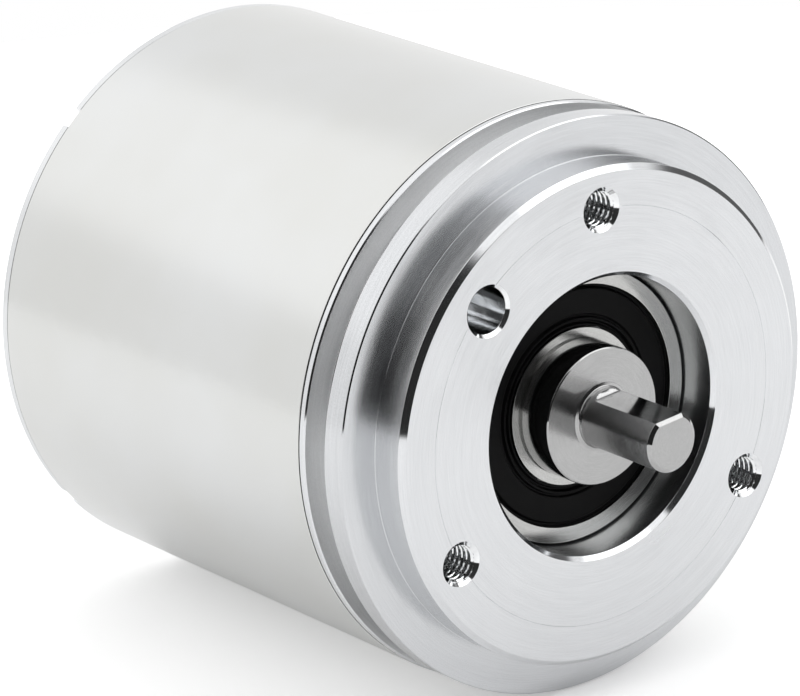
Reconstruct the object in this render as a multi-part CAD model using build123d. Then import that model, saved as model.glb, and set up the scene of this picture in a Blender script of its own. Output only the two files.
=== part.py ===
from build123d import *
from math import acos, atan2, cos, degrees, hypot, pi, radians, sin, sqrt, tan
import os

# Absolute rotary encoder with a synchro flange, lying on its side.
# +X runs along the shaft and out of its drive end, +Z is up, and x = 0 is the
# shoulder that the machine's face meets. Millimetres and degrees.

# Flange, turned from aluminium
flange_diameter = 58.0
pilot_diameter = 50.0
pilot_length = 4.0
edge_chamfer = 0.25
pilot_chamfer = 0.55
rim_thickness = 2.6
groove_width = 3.3
groove_diameter = 53.0
rear_rim_thickness = 0.4
plate_depth = 12.0
hub_wall = 2.5
hub_overhang = 0.6

# Fastening holes in the front face
screw_circle = 42.0
screw_count = 3
screw_diameter = 4.0
screw_depth = 9.0
screw_mouth = 0.2
first_screw_angle = 90.0
plain_hole_diameter = 4.6
plain_hole_circle = 40.0
plain_hole_angle = 135.0
plain_hole_depth = 8.0
drill_point = 118.0

# Steel sleeve and rear cap
sleeve_step = 0.2
sleeve_wall = 1.0
sleeve_length = 49.0
sleeve_edge = 0.2
cap_rim = 1.0
cap_plate = 4.0
cap_spigot = 2.8
cap_spigot_wall = 1.9
cap_slip = 0.05
notch_count = 4
notch_width = 2.2
notch_depth = 1.0
first_notch_angle = 41.0
ring_cord = 1.5
ring_squeeze = 0.15
ring_groove = 1.95

# Shaft, stainless steel
shaft_diameter = 6.0
shaft_reach = 10.0
shaft_end_chamfer = 0.35
flat_depth = 0.5
flat_turn = 96.0
flat_start = 0.9
collar_diameter = 13.8
collar_length = 4.05
collar_edge = 0.15
root_fillet = 0.45
web_shoulder = 10.0
hub_seat = 6.0
tail_diameter = 2.0

# Bearings: bore, outside diameter, width, ball and number of balls
front_bore = 12.0
front_outside = 28.0
front_width = 8.0
front_ball = 4.762
front_balls = 8
rear_bore = 8.0
rear_outside = 22.0
rear_width = 7.0
rear_ball = 3.969
rear_balls = 7
race_conformity = 0.52
ball_play = 0.02
pocket_play = 0.12
lip_play = 0.06
ring_chamfer = 0.3
recess_depth = 4.4
web_length = 5.2
web_bore = 19.0
spring_height = 1.4
spring_stock = 0.5

# Retaining ring on the rear journal
clip_thickness = 0.8
clip_depth = 0.2
clip_width = 1.8
clip_gap = 24.0

# Code disc, its hub and the light path
hub_gap = 0.7
hub_boss = 13.0
hub_boss_length = 3.0
hub_plate = 18.0
hub_plate_thickness = 1.0
hub_spigot = 10.0
disc_gap = 0.5
disc_thickness = 1.0
clamp_thickness = 1.0
grub_diameter = 2.0
grub_angles = (0, 90)
optics_angle = 210.0
lamp_gap = 0.8
mask_gap = 0.3
mask_thickness = 0.5
sensor_thickness = 1.2
light_board_edge = 0.2
light_board_end = 1.5
light_screw_inset = 0.8
light_board_width = 13.4
light_board_thickness = 1.0
holder_inner_gap = 1.2
holder_outer_gap = 1.7
lamp_share = 0.6
lens_wall = 0.8
lens_thickness = 1.5
lead_radius = 0.35
lead_spacing = 2.54
lead_gap = 3.0
light_screw_spacing = 9.8
light_screw_radius = 0.8
light_screw_head = 1.5
light_screw_head_height = 1.2
light_screw_length = 4.5
light_screw_key = 1.3

# Boards and the studs that they are stacked on
board_clearance = 1.2
board_thickness = 1.6
board_hole = 8.0
stud_inset = 4.0
stud_count = 3
first_stud_angle = 30.0
stud_diameter = 3.0
stud_play = 0.1
stud_grip = 4.5
spacer_diameter = 5.0
pillar_flats = 5.5
pillar_thread_share = 0.475
cap_screw_share = 0.4375
foot_height = 1.0
header_angle = 250.0
header_length = 10.0
header_thickness = 2.5
header_inset = 2.0

# Counting gears: three reductions of one to four
module = 0.3
pinion_teeth = 12
wheel_teeth = 48
pressure_angle = 20.0
pinion_addendum = 1.0
wheel_addendum = 0.75
dedendum = 1.2
backlash = 0.06
centre_play = 0.04
gear_thickness = 1.2
gear_gap = 0.3
second_wheel_turn = 96.0
third_wheel_turn = 155.0
gear_plate = 1.0
lug_radius = 3.1
axle_diameter = 1.0
axle_play = 0.05
axle_seat = 0.8
magnet_outer = 4.4
magnet_bore = 2.0
magnet_thickness = 1.0
chip_thickness = 0.9
chip_length = 5.0
chip_width = 4.0
chip_gap = 0.3

# Parts soldered on the boards: length, width and height, and where they sit
chip_circle = 14.5
processor_side = 9.0
processor_height = 1.4
driver_length = 6.2
driver_width = 9.9
driver_height = 1.6
capacitor_radius = 3.15
capacitor_share = 0.675
capacitor_edge = 0.4
capacitor_angle = 330.0
sensor_length = 7.0
sensor_width = 9.0
mask_inset = 1.0

# Electrical connector, metric 12 mm thread, eight contacts
connector_thread = 12.0
connector_bore = 8.7
connector_shank = 14.0
connector_flats = 17.0
connector_hex = 2.5
connector_neck = 1.0
connector_nose = 6.5
connector_nut_share = 0.275
shank_share = 0.4
insert_share = 0.525
contact_diameter = 0.8
contact_circle = 5.5
contact_count = 7
insert_face = 2.2
contact_reach = 6.0
seal_cord = 1.0
seal_height = 0.8
key_height = 0.9
key_width = 1.2
key_setback = 1.0
thread_relief = 0.6

# Screws that close the cap
cap_screw_diameter = 3.0
cap_screw_head = 5.5
cap_screw_head_height = 2.0
cap_screw_play = 0.1
hex_key = 2.0

# Places along the axis, worked out from the sizes above
face_x = pilot_length
groove_front = -rim_thickness
groove_rear = groove_front - groove_width
sleeve_front = groove_rear - rear_rim_thickness
plate_rear = -plate_depth
sleeve_rear = sleeve_front - sleeve_length
cap_rear = sleeve_rear - cap_rim
cap_front = cap_rear + cap_plate
front_bearing_face = face_x - recess_depth
web_front = front_bearing_face - front_width
web_rear = web_front - web_length
rear_bearing_face = web_rear - spring_height
rear_bearing_end = rear_bearing_face - rear_width
hub_end = rear_bearing_end - hub_overhang
clip_rear = rear_bearing_end - clip_thickness
shaft_end = face_x + shaft_reach
collar_face = front_bearing_face + collar_length
disc_hub_front = clip_rear - hub_gap - hub_overhang
disc_front = disc_hub_front - hub_boss_length - hub_plate_thickness
disc_rear = disc_front - disc_thickness
clamp_rear = disc_rear - clamp_thickness
sensor_board_front = disc_rear - mask_gap - mask_thickness - sensor_thickness
sensor_board_rear = sensor_board_front - board_thickness
gear_base_front = sensor_board_rear - foot_height
gear_base_rear = gear_base_front - gear_plate
level_step = gear_thickness + gear_gap
level_fronts = [gear_base_rear - gear_gap - i * level_step for i in range(3)]
magnet_front = level_fronts[2] - gear_thickness
magnet_rear = magnet_front - magnet_thickness
gear_cover_front = magnet_rear - gear_gap
gear_cover_rear = gear_cover_front - gear_plate
interface_board_front = gear_cover_rear - chip_gap - chip_thickness
interface_board_rear = interface_board_front - board_thickness
rear_room = interface_board_rear - cap_front
pillar_thread = rear_room * pillar_thread_share
cap_screw_length = cap_plate - cap_screw_head_height + rear_room * cap_screw_share
capacitor_height = rear_room * capacitor_share
connector_nut = rear_room * connector_nut_share
shank_front = cap_front + rear_room * shank_share
insert_front = cap_front + rear_room * insert_share
connector_seat = cap_rear
connector_end = cap_rear - connector_hex - connector_neck - connector_nose
sleeve_radius = flange_diameter / 2 + sleeve_step
sleeve_inner = sleeve_radius - sleeve_wall
hub_radius = rear_outside / 2 + hub_wall
board_radius = sleeve_inner - board_clearance
stud_radius = board_radius - stud_inset
header_radius = board_radius - header_inset
disc_radius = stud_radius - spacer_diameter / 2 - disc_gap
lead_circle = disc_radius + lead_gap
holder_size = lead_circle - hub_radius - holder_inner_gap - holder_outer_gap
track_radius = hub_radius + holder_inner_gap + holder_size / 2
lens_radius = holder_size / 2 - lens_wall
lamp_radius = lens_radius * lamp_share
stud_angles = [first_stud_angle + i * 360 / stud_count for i in range(stud_count)]


def turned(outline):
    """Solid of revolution about the shaft axis from an outline of (x, radius) points or lines."""
    line = outline if isinstance(outline, Curve) else Polyline(*outline, close=True)
    return revolve(make_face(line), axis=Axis.X)


def rod(x_front, x_rear, radius, y=0, z=0):
    """Cylinder along the axis between two places."""
    middle = (x_front + x_rear) / 2
    return Pos(middle, y, z) * Rot(0, 90, 0) * Cylinder(radius, x_front - x_rear)


def tube(x_front, x_rear, outer, inner, y=0, z=0):
    """Plain ring or spacer along the axis."""
    return rod(x_front, x_rear, outer, y, z) - rod(x_front, x_rear, inner, y, z)


def slab(outline, x_front, x_rear):
    """Flat shape drawn across the axis, given its thickness from x_rear to x_front."""
    return extrude(Plane.YZ.offset(x_rear) * outline, amount=x_front - x_rear)


def polar(radius, angle):
    """Place across the axis, from a radius and an angle that is 0 at +Y and 90 at +Z."""
    return radius * cos(radians(angle)), radius * sin(radians(angle))


def block(x_front, x_rear, length, width, radius, angle):
    """Box whose length runs radially, centred at a radius and an angle."""
    middle = (x_front + x_rear) / 2
    return Rot(angle, 0, 0) * Pos(middle, radius, 0) * Box(x_front - x_rear, length, width)


def group(solids):
    """Several separate solids that share one node."""
    return Compound(children=list(solids))


def chamfered_ends(x_front, x_rear, inner, outer, size):
    """Outline of a ring whose two outer corners are chamfered."""
    return [(x_rear, inner), (x_front, inner), (x_front, outer - size),
            (x_front - size, outer), (x_rear + size, outer), (x_rear, outer - size)]


def drilled(radius, depth, mouth, y, z):
    """Blind drilled hole in the front face, with a countersunk mouth and a drill point."""
    point = radius / tan(radians(drill_point / 2))
    outline = [(face_x - depth - point, 0), (face_x - depth, radius), (face_x - mouth, radius),
               (face_x, radius + mouth), (face_x, 0)]
    return Pos(0, y, z) * turned(outline)


# Flange and housing

def flange():
    """Pilot, shoulder, rim, clamping groove, sleeve seat and bearing hub in one turned piece."""
    pilot = pilot_diameter / 2
    rim = flange_diameter / 2
    seat = front_outside / 2
    rear_seat = rear_outside / 2
    floor = sleeve_inner - ring_cord + ring_squeeze
    groove_x = (sleeve_front + plate_rear) / 2
    half = ring_groove / 2
    profile = [
        (face_x, seat + pilot_chamfer),
        (face_x, pilot - pilot_chamfer),
        (face_x - pilot_chamfer, pilot),
        (0, pilot),
        (0, rim - edge_chamfer),
        (-edge_chamfer, rim),
        (groove_front + edge_chamfer, rim),
        (groove_front, rim - edge_chamfer),
        (groove_front, groove_diameter / 2),
        (groove_rear, groove_diameter / 2),
        (groove_rear, rim),
        (sleeve_front, rim),
        (sleeve_front, sleeve_inner),
        (groove_x + half, sleeve_inner),
        (groove_x + half, floor),
        (groove_x - half, floor),
        (groove_x - half, sleeve_inner),
        (plate_rear + edge_chamfer, sleeve_inner),
        (plate_rear, sleeve_inner - edge_chamfer),
        (plate_rear, hub_radius),
        (hub_end, hub_radius),
        (hub_end, rear_seat),
        (web_rear, rear_seat),
        (web_rear, web_bore / 2),
        (web_front, web_bore / 2),
        (web_front, seat),
        (face_x - pilot_chamfer, seat),
    ]
    body = turned(profile)
    for i in range(screw_count):
        place = polar(screw_circle / 2, first_screw_angle + i * 360 / screw_count)
        body -= drilled(screw_diameter / 2, screw_depth, screw_mouth, *place)
    place = polar(plain_hole_circle / 2, plain_hole_angle)
    body -= drilled(plain_hole_diameter / 2, plain_hole_depth, screw_mouth, *place)
    for angle in stud_angles:
        body -= rod(plate_rear + stud_grip, plate_rear, stud_diameter / 2, *polar(stud_radius, angle))
    for side in (-1, 1):
        body -= light_screw_hole(side)
    return body


def flange_ring():
    """Rubber ring between flange and sleeve."""
    return rubber_ring((sleeve_front + plate_rear) / 2, sleeve_inner)


def rubber_ring(x, outer):
    """Round-section ring that just fills its groove under the given radius."""
    cord = ring_cord - ring_squeeze
    centre = outer - cord / 2
    return revolve(Pos(x, centre) * Circle(cord / 2), axis=Axis.X)


def housing_sleeve():
    """Thin steel tube from the flange to the cap, both ends chamfered."""
    return turned(chamfered_ends(sleeve_front, sleeve_rear, sleeve_inner, sleeve_radius, sleeve_edge))


def cap_groove_x():
    """Middle of the ring groove in the cap's spigot."""
    return (cap_front + cap_spigot + sleeve_rear) / 2


def rear_cap():
    """Cap with a notched rim, a spigot inside the sleeve, and holes for screws and connector."""
    rim = sleeve_radius
    spigot = sleeve_inner - cap_slip
    floor = sleeve_inner - ring_cord + ring_squeeze
    half = ring_groove / 2
    middle = cap_groove_x()
    profile = [
        (cap_rear, connector_shank / 2),
        (cap_rear, rim - sleeve_edge),
        (cap_rear + sleeve_edge, rim),
        (sleeve_rear, rim),
        (sleeve_rear, spigot),
        (middle - half, spigot),
        (middle - half, floor),
        (middle + half, floor),
        (middle + half, spigot),
        (cap_front + cap_spigot, spigot),
        (cap_front + cap_spigot, spigot - cap_spigot_wall),
        (cap_front, spigot - cap_spigot_wall),
        (cap_front, connector_shank / 2),
    ]
    cap = turned(profile)
    for angle in stud_angles:
        place = polar(stud_radius, angle)
        cap -= rod(cap_front, cap_rear, cap_screw_diameter / 2 + cap_screw_play, *place)
        cap -= rod(cap_rear + cap_screw_head_height, cap_rear, cap_screw_head / 2 + cap_screw_play, *place)
    for i in range(notch_count):
        angle = first_notch_angle + i * 360 / notch_count
        cap -= block(sleeve_rear, cap_rear, 2 * notch_depth, notch_width, rim, angle)
    seal = connector_shank / 2 + seal_cord
    cap -= tube(cap_rear + seal_height, cap_rear, seal, connector_shank / 2)
    return cap


def cap_ring():
    """Rubber ring between cap and sleeve."""
    return rubber_ring(cap_groove_x(), sleeve_inner)


def socket_screw(head_x, radius, head_radius, head_height, length, key):
    """Cap screw along the axis, its head at the rear, with a hexagon socket."""
    under_head = head_x + head_height
    screw = rod(under_head, head_x, head_radius) + rod(under_head + length, under_head, radius)
    socket = RegularPolygon(key / 2, 6, major_radius=False)
    return screw - slab(socket, head_x + head_height * 0.6, head_x)


def cap_screws():
    """Three screws through the cap into the pillars."""
    one = socket_screw(cap_rear, cap_screw_diameter / 2, cap_screw_head / 2,
                       cap_screw_head_height, cap_screw_length, hex_key)
    return group(Pos(0, *polar(stud_radius, angle)) * one for angle in stud_angles)


# Ball bearings

def raceway(x, pitch, ball, shoulder, side):
    """Ends and lowest point of a race groove; side is 1 for the outer ring and -1 for the inner."""
    bottom = pitch + side * (ball / 2 + ball_play)
    radius = race_conformity * ball
    centre = bottom - side * radius
    half = sqrt(radius ** 2 - (shoulder - centre) ** 2)
    return (x + half, shoulder), (x, bottom), (x - half, shoulder)


def bearing_sizes(bore, outside, ball):
    """Pitch radius and the shoulder radii of a deep-groove bearing."""
    pitch = (bore + outside) / 4
    return pitch, pitch - ball * 0.315, pitch + ball * 0.315


def race_ring(x_front, width, shoulder, land, far, groove, side):
    """Bearing ring: raceway and stepped seal lands on one face, chamfered seat on the other."""
    cover = cover_depth(width)
    x_rear = x_front - width
    start, bottom, end = groove
    near = Polyline((x_front - ring_chamfer, far), (x_front, far - side * ring_chamfer), (x_front, land),
                    (x_front - cover, land), (x_front - cover, shoulder), start)
    back = Polyline(end, (x_rear + cover, shoulder), (x_rear + cover, land), (x_rear, land),
                    (x_rear, far - side * ring_chamfer), (x_rear + ring_chamfer, far), (x_front - ring_chamfer, far))
    return revolve(make_face(near + ThreePointArc(start, bottom, end) + back), axis=Axis.X)


def cover_depth(width):
    """Room for a seal or shield at each face of a bearing."""
    return width * 0.125


def outer_ring(x_front, bore, outside, width, ball):
    """Outer ring, which stays in the flange."""
    pitch, _, shoulder = bearing_sizes(bore, outside, ball)
    land = shoulder + 0.7
    groove = raceway(x_front - width / 2, pitch, ball, shoulder, 1)
    return race_ring(x_front, width, shoulder, land, outside / 2, groove, 1)


def inner_ring(x_front, bore, outside, width, ball):
    """Inner ring, which turns with the shaft."""
    pitch, shoulder, _ = bearing_sizes(bore, outside, ball)
    land = shoulder - 0.57
    groove = raceway(x_front - width / 2, pitch, ball, shoulder, -1)
    return race_ring(x_front, width, shoulder, land, bore / 2, groove, -1)


def ball_set(x_front, bore, outside, width, ball, count):
    """Balls on their pitch circle."""
    pitch = bearing_sizes(bore, outside, ball)[0]
    centre = x_front - width / 2
    return group(Rot(i * 360 / count, 0, 0) * Pos(centre, pitch, 0) * Sphere(ball / 2) for i in range(count))


def crown_cage(x_front, bore, outside, width, ball, count):
    """Snap-in cage: a ring with a pocket for each ball, open towards the front."""
    pitch, inner, outer = bearing_sizes(bore, outside, ball)
    centre = x_front - width / 2
    back = centre - width / 2 + cover_depth(width) + 0.15
    cage = tube(centre + ball * 0.2, back, outer - 0.3, inner + 0.3)
    pocket = Pos(centre, pitch, 0) * Rot(90, 0, 0) * Cylinder(ball / 2 + pocket_play, ball)
    for i in range(count):
        cage -= Rot(i * 360 / count, 0, 0) * pocket
    return cage


def rubber_seal(x_face, towards):
    """Seal of the front bearing: flat wall, moulded ridges and a lip that runs on the inner ring."""
    inner, outer = bearing_sizes(front_bore, front_outside, front_ball)[1:]
    lip = inner - 0.57 + lip_play
    rim = outer + 0.7
    depth = cover_depth(front_width)
    face = 0.25
    steps = [
        (depth, lip), (face, lip), (face, lip + 0.22), (0.55, lip + 0.34), (0.55, lip + 0.5),
        (0.1, lip + 0.62), (0.1, lip + 0.8), (0.45, lip + 0.92), (0.45, lip + 1.08), (face, lip + 1.2),
        (face, rim - 0.35), (0.5, rim - 0.25), (0.5, rim), (depth, rim),
    ]
    return turned([(x_face - towards * x, r) for x, r in steps])


def bearing_shields():
    """Two thin steel shields of the rear bearing, clear of its inner ring."""
    inner, outer = bearing_sizes(rear_bore, rear_outside, rear_ball)[1:]
    depth = cover_depth(rear_width)
    front = tube(rear_bearing_face - 0.3, rear_bearing_face - depth, outer + 0.7, inner - 0.57 + 3 * lip_play)
    rear = tube(rear_bearing_end + depth, rear_bearing_end + 0.3, outer + 0.7, inner - 0.57 + 3 * lip_play)
    return group([front, rear])


def preload_spring():
    """Coned disc spring that pushes the rear bearing back and takes up the play."""
    outer = rear_outside / 2 - 0.15
    inner = web_bore / 2 - 0.9
    outline = [(web_rear, outer), (web_rear - spring_stock, outer),
               (rear_bearing_face, inner + 0.9), (rear_bearing_face, inner),
               (rear_bearing_face + spring_stock, inner)]
    return turned(outline)


# Shaft and what turns with it

def shaft():
    """Stepped shaft with its collar, journals, ring groove, drive flat and gear tail."""
    drive = shaft_diameter / 2
    collar = collar_diameter / 2
    rear_journal = rear_bore / 2
    tail = tail_diameter / 2
    hub_seat_end = clamp_rear - 0.6
    flat_x = collar_face + flat_start
    front = Polyline((flat_x, 0), (flat_x, drive), (collar_face + root_fillet, drive))
    root = RadiusArc((collar_face + root_fillet, drive), (collar_face, drive + root_fillet), -root_fillet)
    back = Polyline(
        (collar_face, drive + root_fillet),
        (collar_face, collar - collar_edge),
        (collar_face - collar_edge, collar),
        (front_bearing_face, collar),
        (front_bearing_face, front_bore / 2),
        (web_front - 0.8, front_bore / 2),
        (web_front - 0.8, web_shoulder / 2),
        (rear_bearing_face, web_shoulder / 2),
        (rear_bearing_face, rear_journal),
        (rear_bearing_end, rear_journal),
        (rear_bearing_end, rear_journal - clip_depth),
        (clip_rear, rear_journal - clip_depth),
        (clip_rear, rear_journal),
        (disc_hub_front, rear_journal),
        (disc_hub_front, hub_seat / 2),
        (hub_seat_end, hub_seat / 2),
        (hub_seat_end, tail),
        (level_fronts[0] - gear_thickness, tail),
        (level_fronts[0] - gear_thickness, 0),
        (flat_x, 0),
    )
    body = revolve(make_face(front + root + back), axis=Axis.X)
    stub = turned([(flat_x, 0), (flat_x, drive), (shaft_end - shaft_end_chamfer, drive),
                   (shaft_end, drive - shaft_end_chamfer), (shaft_end, 0)])
    flat = Pos((flat_x + shaft_end) / 2, 0, drive - flat_depth / 2)
    stub -= Rot(flat_turn - 90, 0, 0) * flat * Box(shaft_end - flat_x, 2 * drive, flat_depth)
    return body.fuse(stub)


def retaining_ring():
    """Open spring ring in the groove behind the rear bearing, with two eyes."""
    inner = rear_bore / 2 - clip_depth
    outer = inner + clip_width
    gap = Polyline((0, 0), polar(2 * outer, -clip_gap / 2), polar(2 * outer, clip_gap / 2), close=True)
    shape = Circle(outer) - Circle(inner) - make_face(gap)
    for side in (-1, 1):
        eye = Pos(*polar(inner + clip_width * 0.6, side * clip_gap))
        shape = shape + eye * Circle(clip_width * 0.6) - eye * Circle(clip_width * 0.22) - Circle(inner)
    return slab(shape, rear_bearing_end, clip_rear)


def grub_holes(radius, start, end):
    """Radial cylinders where the grub screws of the disc hub sit."""
    x = disc_hub_front - hub_boss_length / 2
    length = end - start
    middle = (start + end) / 2
    pin = Pos(x, middle, 0) * Rot(90, 0, 0) * Cylinder(radius, length)
    return [Rot(angle, 0, 0) * pin for angle in grub_angles]


def disc_hub():
    """Brass hub on the shaft, with a plate that the code disc lies against."""
    profile = [
        (disc_hub_front, hub_seat / 2),
        (disc_hub_front, hub_boss / 2),
        (disc_hub_front - hub_boss_length, hub_boss / 2),
        (disc_hub_front - hub_boss_length, hub_plate / 2),
        (disc_front, hub_plate / 2),
        (disc_front, hub_spigot / 2),
        (clamp_rear, hub_spigot / 2),
        (clamp_rear, hub_seat / 2),
    ]
    hub = turned(profile)
    for hole in grub_holes(grub_diameter / 2, hub_seat / 2 - 0.5, hub_boss):
        hub -= hole
    return hub


def grub_screws():
    """Two grub screws that lock the hub to the shaft."""
    return group(grub_holes(grub_diameter / 2, hub_seat / 2, hub_boss / 2 - 0.2))


def code_disc():
    """Glass disc that carries the code tracks."""
    return tube(disc_front, disc_rear, disc_radius, hub_spigot / 2)


def disc_clamp():
    """Ring pressed on the hub's spigot, which holds the disc."""
    return tube(disc_rear, clamp_rear, hub_plate / 2, hub_spigot / 2)


# Light path

def light_board():
    """Small board on the flange that carries the lamp."""
    x_rear = plate_rear - light_board_thickness
    inner = track_radius - holder_size / 2 - light_board_edge
    outer = lead_circle + light_board_end
    board = block(plate_rear, x_rear, outer - inner, light_board_width, (inner + outer) / 2, optics_angle)
    for side in (-1, 1):
        board -= light_screw_hole(side)
        board -= light_lead(side)
    return board


def beside_optics(outwards, aside):
    """Place given by a distance along the light path's radius and one across it."""
    return polar(hypot(outwards, aside), optics_angle + degrees(atan2(aside, outwards)))


def light_screw_place(side):
    """Screw centre on the small board."""
    return beside_optics(lead_circle - light_screw_inset, side * light_screw_spacing / 2)


def light_screw_hole(side):
    """Hole for one screw of the small board, through the board and into the flange."""
    x_rear = plate_rear - light_board_thickness
    return rod(x_rear + light_screw_length, x_rear, light_screw_radius, *light_screw_place(side))


def light_screws():
    """Two small screws that hold the light board on the flange."""
    head = plate_rear - light_board_thickness - light_screw_head_height
    one = socket_screw(head, light_screw_radius, light_screw_head, light_screw_head_height,
                       light_screw_length, light_screw_key)
    return group(Pos(0, *light_screw_place(side)) * one for side in (-1, 1))


def light_lead(side):
    """One contact pin from the small board to the sensor board."""
    place = beside_optics(lead_circle, side * lead_spacing / 2)
    return rod(plate_rear, sensor_board_rear, lead_radius, *place)


def light_leads():
    """The pair of contact pins that feed the lamp."""
    return group(light_lead(side) for side in (-1, 1))


lamp_base = plate_rear - light_board_thickness
holder_end = disc_front + lamp_gap
lens_front = holder_end + lens_thickness + 0.3
lamp_tip = lens_front + 0.8


def lamp_holder():
    """Moulded block that lines up the lamp and its lens over the code track."""
    body = block(lamp_base, holder_end, holder_size, holder_size, track_radius, optics_angle)
    place = polar(track_radius, optics_angle)
    body -= rod(lamp_base, holder_end, lamp_radius + 0.05, *place)
    body -= rod(lens_front, holder_end, lens_radius, *place)
    body -= rod(lamp_base, lamp_base - 1.2, lamp_radius + 0.45, *place)
    return body


def lamp():
    """Light-emitting diode with a flanged base and a domed tip."""
    r = lamp_radius
    straight = Polyline((lamp_tip + r, r), (lamp_base - 1.0, r), (lamp_base - 1.0, r + 0.35),
                        (lamp_base, r + 0.35), (lamp_base, 0), (lamp_tip, 0))
    dome = ThreePointArc((lamp_tip, 0), (lamp_tip + r - r * cos(pi / 4), r * sin(pi / 4)), (lamp_tip + r, r))
    body = revolve(make_face(straight + dome), axis=Axis.X)
    return Pos(0, *polar(track_radius, optics_angle)) * body


def lens():
    """Flat-backed lens that makes the light parallel."""
    bulge = 0.6
    edge = Polyline((lens_front - bulge, lens_radius), (holder_end + 0.3, lens_radius),
                    (holder_end + 0.3, 0), (lens_front, 0))
    sag = bulge * 0.28
    dome = ThreePointArc((lens_front, 0), (lens_front - sag, lens_radius * 0.52), (lens_front - bulge, lens_radius))
    body = revolve(make_face(edge + dome), axis=Axis.X)
    return Pos(0, *polar(track_radius, optics_angle)) * body


def light_sensor():
    """Photodiode chip under the code track."""
    top = sensor_board_front + sensor_thickness
    return block(top, sensor_board_front, sensor_length, sensor_width, track_radius, optics_angle)


def scanning_mask():
    """Slit plate of glass on the sensor chip."""
    rear = sensor_board_front + sensor_thickness
    length = sensor_length - 2 * mask_inset
    width = sensor_width - 2 * mask_inset
    return block(rear + mask_thickness, rear, length, width, track_radius, optics_angle)


# Board stack

def stacked_board(x_front, x_rear, hole):
    """Round circuit board with its stud holes and a centre hole."""
    board = tube(x_front, x_rear, board_radius, hole / 2)
    for angle in stud_angles:
        board -= rod(x_front, x_rear, stud_diameter / 2 + stud_play, *polar(stud_radius, angle))
    return board


def sensor_board():
    """Board that carries the photodiode chip, with holes for the lamp's pins."""
    board = stacked_board(sensor_board_front, sensor_board_rear, board_hole)
    for side in (-1, 1):
        board -= light_lead(side)
    return board


def interface_board():
    """Board that carries the counting sensors, the processor and the connector's contacts."""
    board = stacked_board(interface_board_front, interface_board_rear, tail_diameter)
    for contact in contacts():
        board -= contact
    return board


def studs():
    """Three threaded rods from the flange through the whole stack."""
    x_front = plate_rear + stud_grip
    x_rear = interface_board_rear - pillar_thread
    return group(rod(x_front, x_rear, stud_diameter / 2, *polar(stud_radius, a)) for a in stud_angles)


def front_spacers():
    """Three tubes between the flange and the sensor board."""
    inner = stud_diameter / 2 + stud_play
    return group(tube(plate_rear, sensor_board_front, spacer_diameter / 2, inner, *polar(stud_radius, a))
                 for a in stud_angles)


def rear_pillars():
    """Three hexagonal pillars, which clamp the stack and take the cap screws."""
    pillars = []
    for angle in stud_angles:
        y, z = polar(stud_radius, angle)
        body = slab(Pos(y, z) * RegularPolygon(pillar_flats / 2, 6, major_radius=False),
                    interface_board_rear, cap_front)
        body -= rod(interface_board_rear, interface_board_rear - pillar_thread, stud_diameter / 2, y, z)
        reach = cap_rear + cap_screw_head_height + cap_screw_length
        body -= rod(reach, cap_front, cap_screw_diameter / 2, y, z)
        pillars.append(body)
    return group(pillars)


def board_header():
    """Plug strip that joins the two boards past the gear unit."""
    return block(sensor_board_rear, interface_board_front, header_thickness, header_length,
                 header_radius, header_angle)


def processor():
    """Processor in its square package, on the back of the interface board."""
    return block(interface_board_rear, interface_board_rear - processor_height,
                 processor_side, processor_side, chip_circle, 180)


def line_driver():
    """Driver chip for the data line."""
    return block(interface_board_rear, interface_board_rear - driver_height,
                 driver_length, driver_width, chip_circle, 90)


def smoothing_capacitor():
    """Canned capacitor that smooths the supply."""
    y, z = polar(chip_circle, capacitor_angle)
    x_rear = interface_board_rear - capacitor_height
    can = chamfered_ends(interface_board_rear, x_rear, 0, capacitor_radius, capacitor_edge)
    return Pos(0, y, z) * turned(can)


# Counting gears

def involute(angle):
    """Involute of an angle in radians."""
    return tan(angle) - angle


def gear_outline(teeth, addendum, phase, flank_steps):
    """Involute spur gear, drawn with one tooth centred at the phase angle."""
    pitch = module * teeth / 2
    base = pitch * cos(radians(pressure_angle))
    root = pitch - dedendum * module
    tip = pitch + addendum * module
    half_pitch = (pi * module / 2 - backlash) / (2 * pitch) + involute(radians(pressure_angle))
    start = max(base, root)
    flank = [root] * (root < base) + [start + (tip - start) * i / flank_steps for i in range(flank_steps + 1)]
    points = []
    for tooth in range(teeth):
        centre = phase + tooth * 360 / teeth
        sides = [(r, degrees(half_pitch - involute(acos(min(1, base / max(r, base)))))) for r in flank]
        points += [polar(r, centre - half) for r, half in sides]
        points += [polar(r, centre + half) for r, half in reversed(sides)]
    return make_face(Polyline(*points, close=True))


def mesh_phase(phase, teeth, direction, next_teeth):
    """Phase of the next gear, so that its gap meets this gear's tooth on the line of centres."""
    return direction + 180 - (phase - direction) * teeth / next_teeth + 180 / next_teeth


gear_centre = module * (pinion_teeth + wheel_teeth) / 2 + centre_play
gear_turns = [0.0, second_wheel_turn, third_wheel_turn]
gear_places = [(gear_centre, 0.0)]
for turn in gear_turns[1:]:
    dy, dz = polar(gear_centre, turn)
    gear_places.append((gear_places[-1][0] + dy, gear_places[-1][1] + dz))
gear_phases = [mesh_phase(0.0, pinion_teeth, gear_turns[0], wheel_teeth)]
for turn in gear_turns[1:]:
    gear_phases.append(mesh_phase(0.0, pinion_teeth, turn, wheel_teeth))


def shaft_pinion():
    """Brass pinion pressed on the tail of the shaft."""
    outline = gear_outline(pinion_teeth, pinion_addendum, 0.0, 2)
    pinion = slab(outline, level_fronts[0], level_fronts[0] - gear_thickness)
    return pinion - rod(level_fronts[0], level_fronts[0] - gear_thickness, tail_diameter / 2)


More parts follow.
